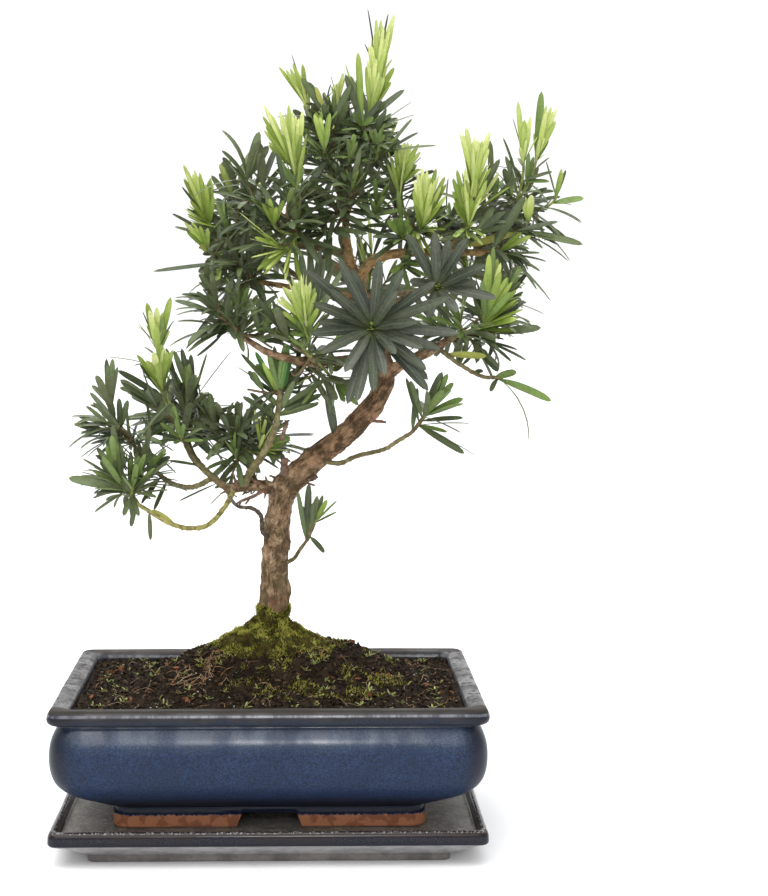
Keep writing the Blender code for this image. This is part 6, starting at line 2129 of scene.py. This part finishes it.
def make_roots(soil, finishes):
    """Dry root fibres on the soil, most of them left of the mound."""
    rng = random.Random(17)
    heaps = {name: Heap() for name in finishes}

    def near_front(place, normal):
        if normal.z < 0.3 or abs(place.x) > 125 * MM or abs(place.y) > 82 * MM:
            return False
        crowded = math.hypot(place.x + 53 * MM, place.y + 34 * MM) < 16 * MM
        return crowded or rng.random() < 0.05

    for place, normal in scatter_on(soil, 190, rng, near_front):
        heading = Vector((rng.gauss(0, 1), rng.gauss(0, 1), 0)).normalized()
        length = rng.uniform(4, 15) * MM
        line = []
        for i in range(9):
            share = i / 8
            swerve = Vector((noise.noise(place * 400 + UP * share * 2), noise.noise(place * 400 - UP * share * 2), 0))
            point = place + heading * length * (share - 0.5) + swerve * 3 * MM
            ground = soil_height(point.x / MM, point.y / MM) + soil_lump(point.x / MM, point.y / MM)
            rise = (0.5 + 1.6 * math.sin(share * math.pi)) * MM
            line.append(Vector((point.x, point.y, ground * MM + rise, rng.uniform(0.1, 0.24) * MM)))
        ring_tube(heaps["pale_roots" if rng.random() < 0.4 else "red_roots"], line, 4, 0, rng.random())
    for name, heap in heaps.items():
        seat(heap.mesh_object(name), name, finishes[name])


def make_weeds(soil, finish):
    """Small seedlings and sprigs on the soil: a few narrow blades from one foot each."""
    rng = random.Random(23)
    heap = Heap()

    def anywhere(place, normal):
        return normal.z > 0.3 and abs(place.x) < 128 * MM and abs(place.y) < 84 * MM

    for place, normal in scatter_on(soil, 170, rng, anywhere):
        for _ in range(rng.randint(3, 7)):
            lean = Vector((rng.gauss(0, 1), rng.gauss(0, 1), 0)) * 0.9
            direction = (UP + lean).normalized()
            face = (UP - direction * direction.z).normalized()
            length = rng.uniform(2, 5.5) * MM
            points = leaf_points(place, direction, face, length, rng.uniform(0.6, 1.2) * MM, 0.5, 0.2)
            heap.add(points, LEAF_FACES, LEAF_MARKS, rng.random())
    seat(heap.mesh_object("weeds"), "small_weeds", finish)


def area_light(name, place, target, size, power, colour=(1, 1, 1)):
    data = bpy.data.lights.new(name, "AREA")
    data.shape = "RECTANGLE"
    data.size, data.size_y = size
    data.energy = power
    data.color = colour
    obj = bpy.data.objects.new(name, data)
    bpy.context.scene.collection.objects.link(obj)
    obj.location = place
    obj.rotation_euler = (Vector(target) - Vector(place)).to_track_quat("-Z", "Y").to_euler()
    obj.visible_camera = False


def soft_sun(name, heading, strength, spread):
    """Even light from one side, which is the same all over the floor."""
    data = bpy.data.lights.new(name, "SUN")
    data.energy = strength
    data.angle = math.radians(spread)
    obj = bpy.data.objects.new(name, data)
    bpy.context.scene.collection.objects.link(obj)
    obj.rotation_euler = Vector(heading).to_track_quat("-Z", "Y").to_euler()


def make_stage():
    """A pale floor, soft even light, two soft boxes, and a pale surround."""
    deselect()
    bpy.ops.mesh.primitive_plane_add(size=30, location=(0, 0, 0))
    floor = bpy.context.object
    floor.name = "floor"
    finish, _, shader = new_material("pale_floor", 0.7)
    shader.inputs["Base Color"].default_value = (0.9, 0.9, 0.9, 1)
    shader.inputs["Specular IOR Level"].default_value = 0.1
    floor.data.materials.append(finish)
    bpy.context.scene.view_settings.view_transform = "Standard"
    middle = (0.02, 0, 0.2)
    soft_sun("daylight", (0.35, 0.45, -1), 1.7, 50)
    area_light("key", (-0.15, -2.1, 1.2), middle, (1.5, 1.0), 9.4)
    area_light("left_window", (-0.06, -2.15, 0.92), (-0.06, 0, 0.1), (0.1, 0.25), 1.6)
    area_light("right_window", (0.07, -2.15, 0.92), (0.07, 0, 0.1), (0.16, 0.25), 2.5)
    area_light("back", (0.2, 1.3, 1.4), middle, (1.4, 0.7), 10)
    world = bpy.data.worlds.new("surround")
    bpy.context.scene.world = world
    world.use_nodes = True
    tree = world.node_tree
    tree.nodes.clear()
    parts = put(tree, "SeparateXYZ", {"Vector": put(tree, "TexCoord").outputs["Generated"]}).outputs
    behind = remap(tree, parts[1], -0.2, 0.6, 0.45, 1.15)
    overhead = remap(tree, parts[2], 0.55, 0.95, 0.0, 0.9)
    strength = math_node(tree, "ADD", behind, overhead)
    lit = put(tree, "Background", {"Color": (0.98, 0.99, 1.0, 1), "Strength": strength})
    seen = put(tree, "Background", {"Color": (1, 1, 1, 1), "Strength": 1.1})
    camera_ray = put(tree, "LightPath").outputs["Is Camera Ray"]
    both = put(tree, "MixShader")
    tree.links.new(camera_ray, both.inputs[0])
    tree.links.new(lit.outputs[0], both.inputs[1])
    tree.links.new(seen.outputs[0], both.inputs[2])
    tree.links.new(both.outputs[0], put(tree, "OutputWorld").inputs[0])


def make_camera():
    """The photograph's view: a long lens a little above the pot, level and almost straight on."""
    data = bpy.data.cameras.new("camera")
    data.lens = 71.9
    data.sensor_width = 36
    data.shift_x = 0.0581
    camera = bpy.data.objects.new("camera", data)
    bpy.context.scene.collection.objects.link(camera)
    camera.location = (0.0218, -1.2853, 0.3979)
    camera.rotation_euler = (math.radians(90 - 5.4013), 0, -math.radians(1.0225))
    bpy.context.scene.camera = camera


def main():
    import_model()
    deselect()
    grain = grain_group()
    glaze = glaze_group()
    place_on_leaf = leaf_group()
    make_camera()
    make_stage()

    make_tray(tray_glaze(glaze))
    make_pot(pot_glaze(glaze))
    make_feet(clay_finish(grain))
    soil = make_soil(grained(
        "soil", grain, (0.004, 0.0028, 0.0016), (0.022, 0.014, 0.0085), (0.042, 0.027, 0.016), 0.95, (160, 1300), 0.8, 0.001
    ))
    # The moss's ground is very dark: partly dark earth and partly painted shade between the moss blades.
    mound = make_moss(grained(
        "moss_ground", grain, (0.01, 0.0085, 0.003), (0.05, 0.042, 0.01), (0.06, 0.05, 0.012), 0.95, (180, 1500), 0.9, 0.001
    ))
    make_moss_blades(mound, soil, {
        "moss_light": grained("moss_light", grain, (0.3, 0.28, 0.045), (0.56, 0.53, 0.13), (0.38, 0.37, 0.065), 0.8, (300, 1500), 0.2, 0.0002),
        "moss_green": grained("moss_green", grain, (0.12, 0.15, 0.02), (0.27, 0.3, 0.045), (0.17, 0.2, 0.03), 0.8, (300, 1500), 0.2, 0.0002),
        "moss_olive": grained("moss_olive", grain, (0.055, 0.044, 0.008), (0.2, 0.15, 0.028), (0.12, 0.09, 0.016), 0.85, (300, 1500), 0.2, 0.0002),
    })
    make_crumbs(soil, {
        "dark_crumbs": grained("dark_crumbs", grain, (0.004, 0.003, 0.002), (0.022, 0.015, 0.009), (0.036, 0.024, 0.015), 0.95, (400, 1500), 0.3, 0.0003),
        "brown_chips": grained("brown_chips", grain, (0.028, 0.018, 0.01), (0.11, 0.075, 0.045), (0.065, 0.042, 0.025), 0.9, (400, 1500), 0.3, 0.0003),
        "red_chips": grained("red_chips", grain, (0.1, 0.035, 0.018), (0.26, 0.11, 0.055), (0.14, 0.06, 0.03), 0.9, (400, 1500), 0.3, 0.0003),
        "pale_grit": grained("pale_grit", grain, (0.28, 0.25, 0.19), (0.55, 0.5, 0.42), (0.35, 0.32, 0.23), 0.8, (400, 1500), 0.3, 0.0003),
    })
    make_roots(soil, {
        "pale_roots": grained("pale_roots", grain, (0.25, 0.17, 0.1), (0.5, 0.38, 0.25), (0.35, 0.24, 0.13), 0.85, (300, 1500), 0.3, 0.0003),
        "red_roots": grained("red_roots", grain, (0.17, 0.08, 0.04), (0.4, 0.23, 0.13), (0.24, 0.12, 0.06), 0.85, (300, 1500), 0.3, 0.0003),
    })
    make_weeds(soil, leaf_finish(
        "weed_leaf", place_on_leaf, (0.3, 0.32, 0.09), (0.36, 0.38, 0.1), (0.55, 0.55, 0.25),
        (0.12, 0.15, 0.03), (0.4, 0.42, 0.16), 0.5
    ))

    lines = {"trunk": smooth_line(TRUNK, LINE_STEP / 3)}
    for name, limb in LIMBS.items():
        lines[name] = smooth_line(limb_points(limb), LINE_STEP / 3)
    limbs = LimbMap(lines.values())
    make_bark(lines, limbs, bark_finish(grain))
    make_thin_limbs({
        "slender_boughs": twig_finish(
            "thin_bark", grain, (0.1, 0.09, 0.042), (0.27, 0.25, 0.12), (0.2, 0.13, 0.065), 0.5
        ),
        "green_boughs": twig_finish(
            "green_bark", grain, (0.15, 0.135, 0.045), (0.42, 0.39, 0.13), (0.3, 0.22, 0.085), 0.3
        ),
        "dry_twig": twig_finish(
            "dry_bark", grain, (0.05, 0.043, 0.032), (0.17, 0.145, 0.11), (0.13, 0.08, 0.055), 0.3
        ),
    })
    make_stubs(twig_finish("stub_bark", grain, (0.06, 0.045, 0.033), (0.26, 0.19, 0.14), (0.36, 0.16, 0.09), 0.6))
    crown = grow_crown(lines, limbs)
    seat_crown(crown, {
        "dark": leaf_finish(
            "leaf_dark", place_on_leaf, (0.105, 0.15, 0.048), (0.041, 0.056, 0.026), (0.056, 0.074, 0.034),
            (0.145, 0.19, 0.074), (0.14, 0.158, 0.08), 0.4
        ),
        "dusty": leaf_finish(
            "leaf_dusty", place_on_leaf, (0.07, 0.088, 0.036), (0.026, 0.035, 0.022), (0.07, 0.08, 0.054),
            (0.075, 0.09, 0.056), (0.17, 0.18, 0.135), 0.32, 0.32
        ),
        "fresh": leaf_finish(
            "leaf_fresh", place_on_leaf, (0.14, 0.21, 0.045), (0.095, 0.15, 0.04), (0.15, 0.21, 0.06),
            (0.2, 0.3, 0.07), (0.18, 0.24, 0.08), 0.4
        ),
        "bright": leaf_finish(
            "leaf_bright", place_on_leaf, (0.11, 0.18, 0.03), (0.23, 0.33, 0.048), (0.44, 0.53, 0.12),
            (0.16, 0.24, 0.035), (0.38, 0.47, 0.12), 0.45, 0.15
        ),
        "young": leaf_finish(
            "leaf_young", place_on_leaf, (0.16, 0.27, 0.04), (0.5, 0.59, 0.15), (0.75, 0.78, 0.34),
            (0.3, 0.41, 0.075), (0.6, 0.66, 0.25), 0.5, 0.15
        ),
        "vivid": leaf_finish(
            "leaf_vivid", place_on_leaf, (0.1, 0.19, 0.04), (0.05, 0.17, 0.035), (0.08, 0.24, 0.06),
            (0.09, 0.22, 0.05), (0.14, 0.27, 0.08), 0.4, 0.1
        ),
        "yellow": leaf_finish(
            "leaf_yellow", place_on_leaf, (0.38, 0.39, 0.1), (0.46, 0.45, 0.12), (0.4, 0.34, 0.1),
            (0.42, 0.45, 0.1), (0.5, 0.52, 0.14), 0.45
        ),
    }, {
        "brown_twigs": twig_finish(
            "brown_twigs", grain, (0.085, 0.07, 0.034), (0.22, 0.18, 0.095), (0.2, 0.12, 0.06), 0.4
        ),
        "green_twigs": twig_finish(
            "green_twigs", grain, (0.12, 0.15, 0.04), (0.3, 0.34, 0.11), (0.26, 0.24, 0.09), 0.3
        ),
    })
    print("leaves", crown.leaves)


main()
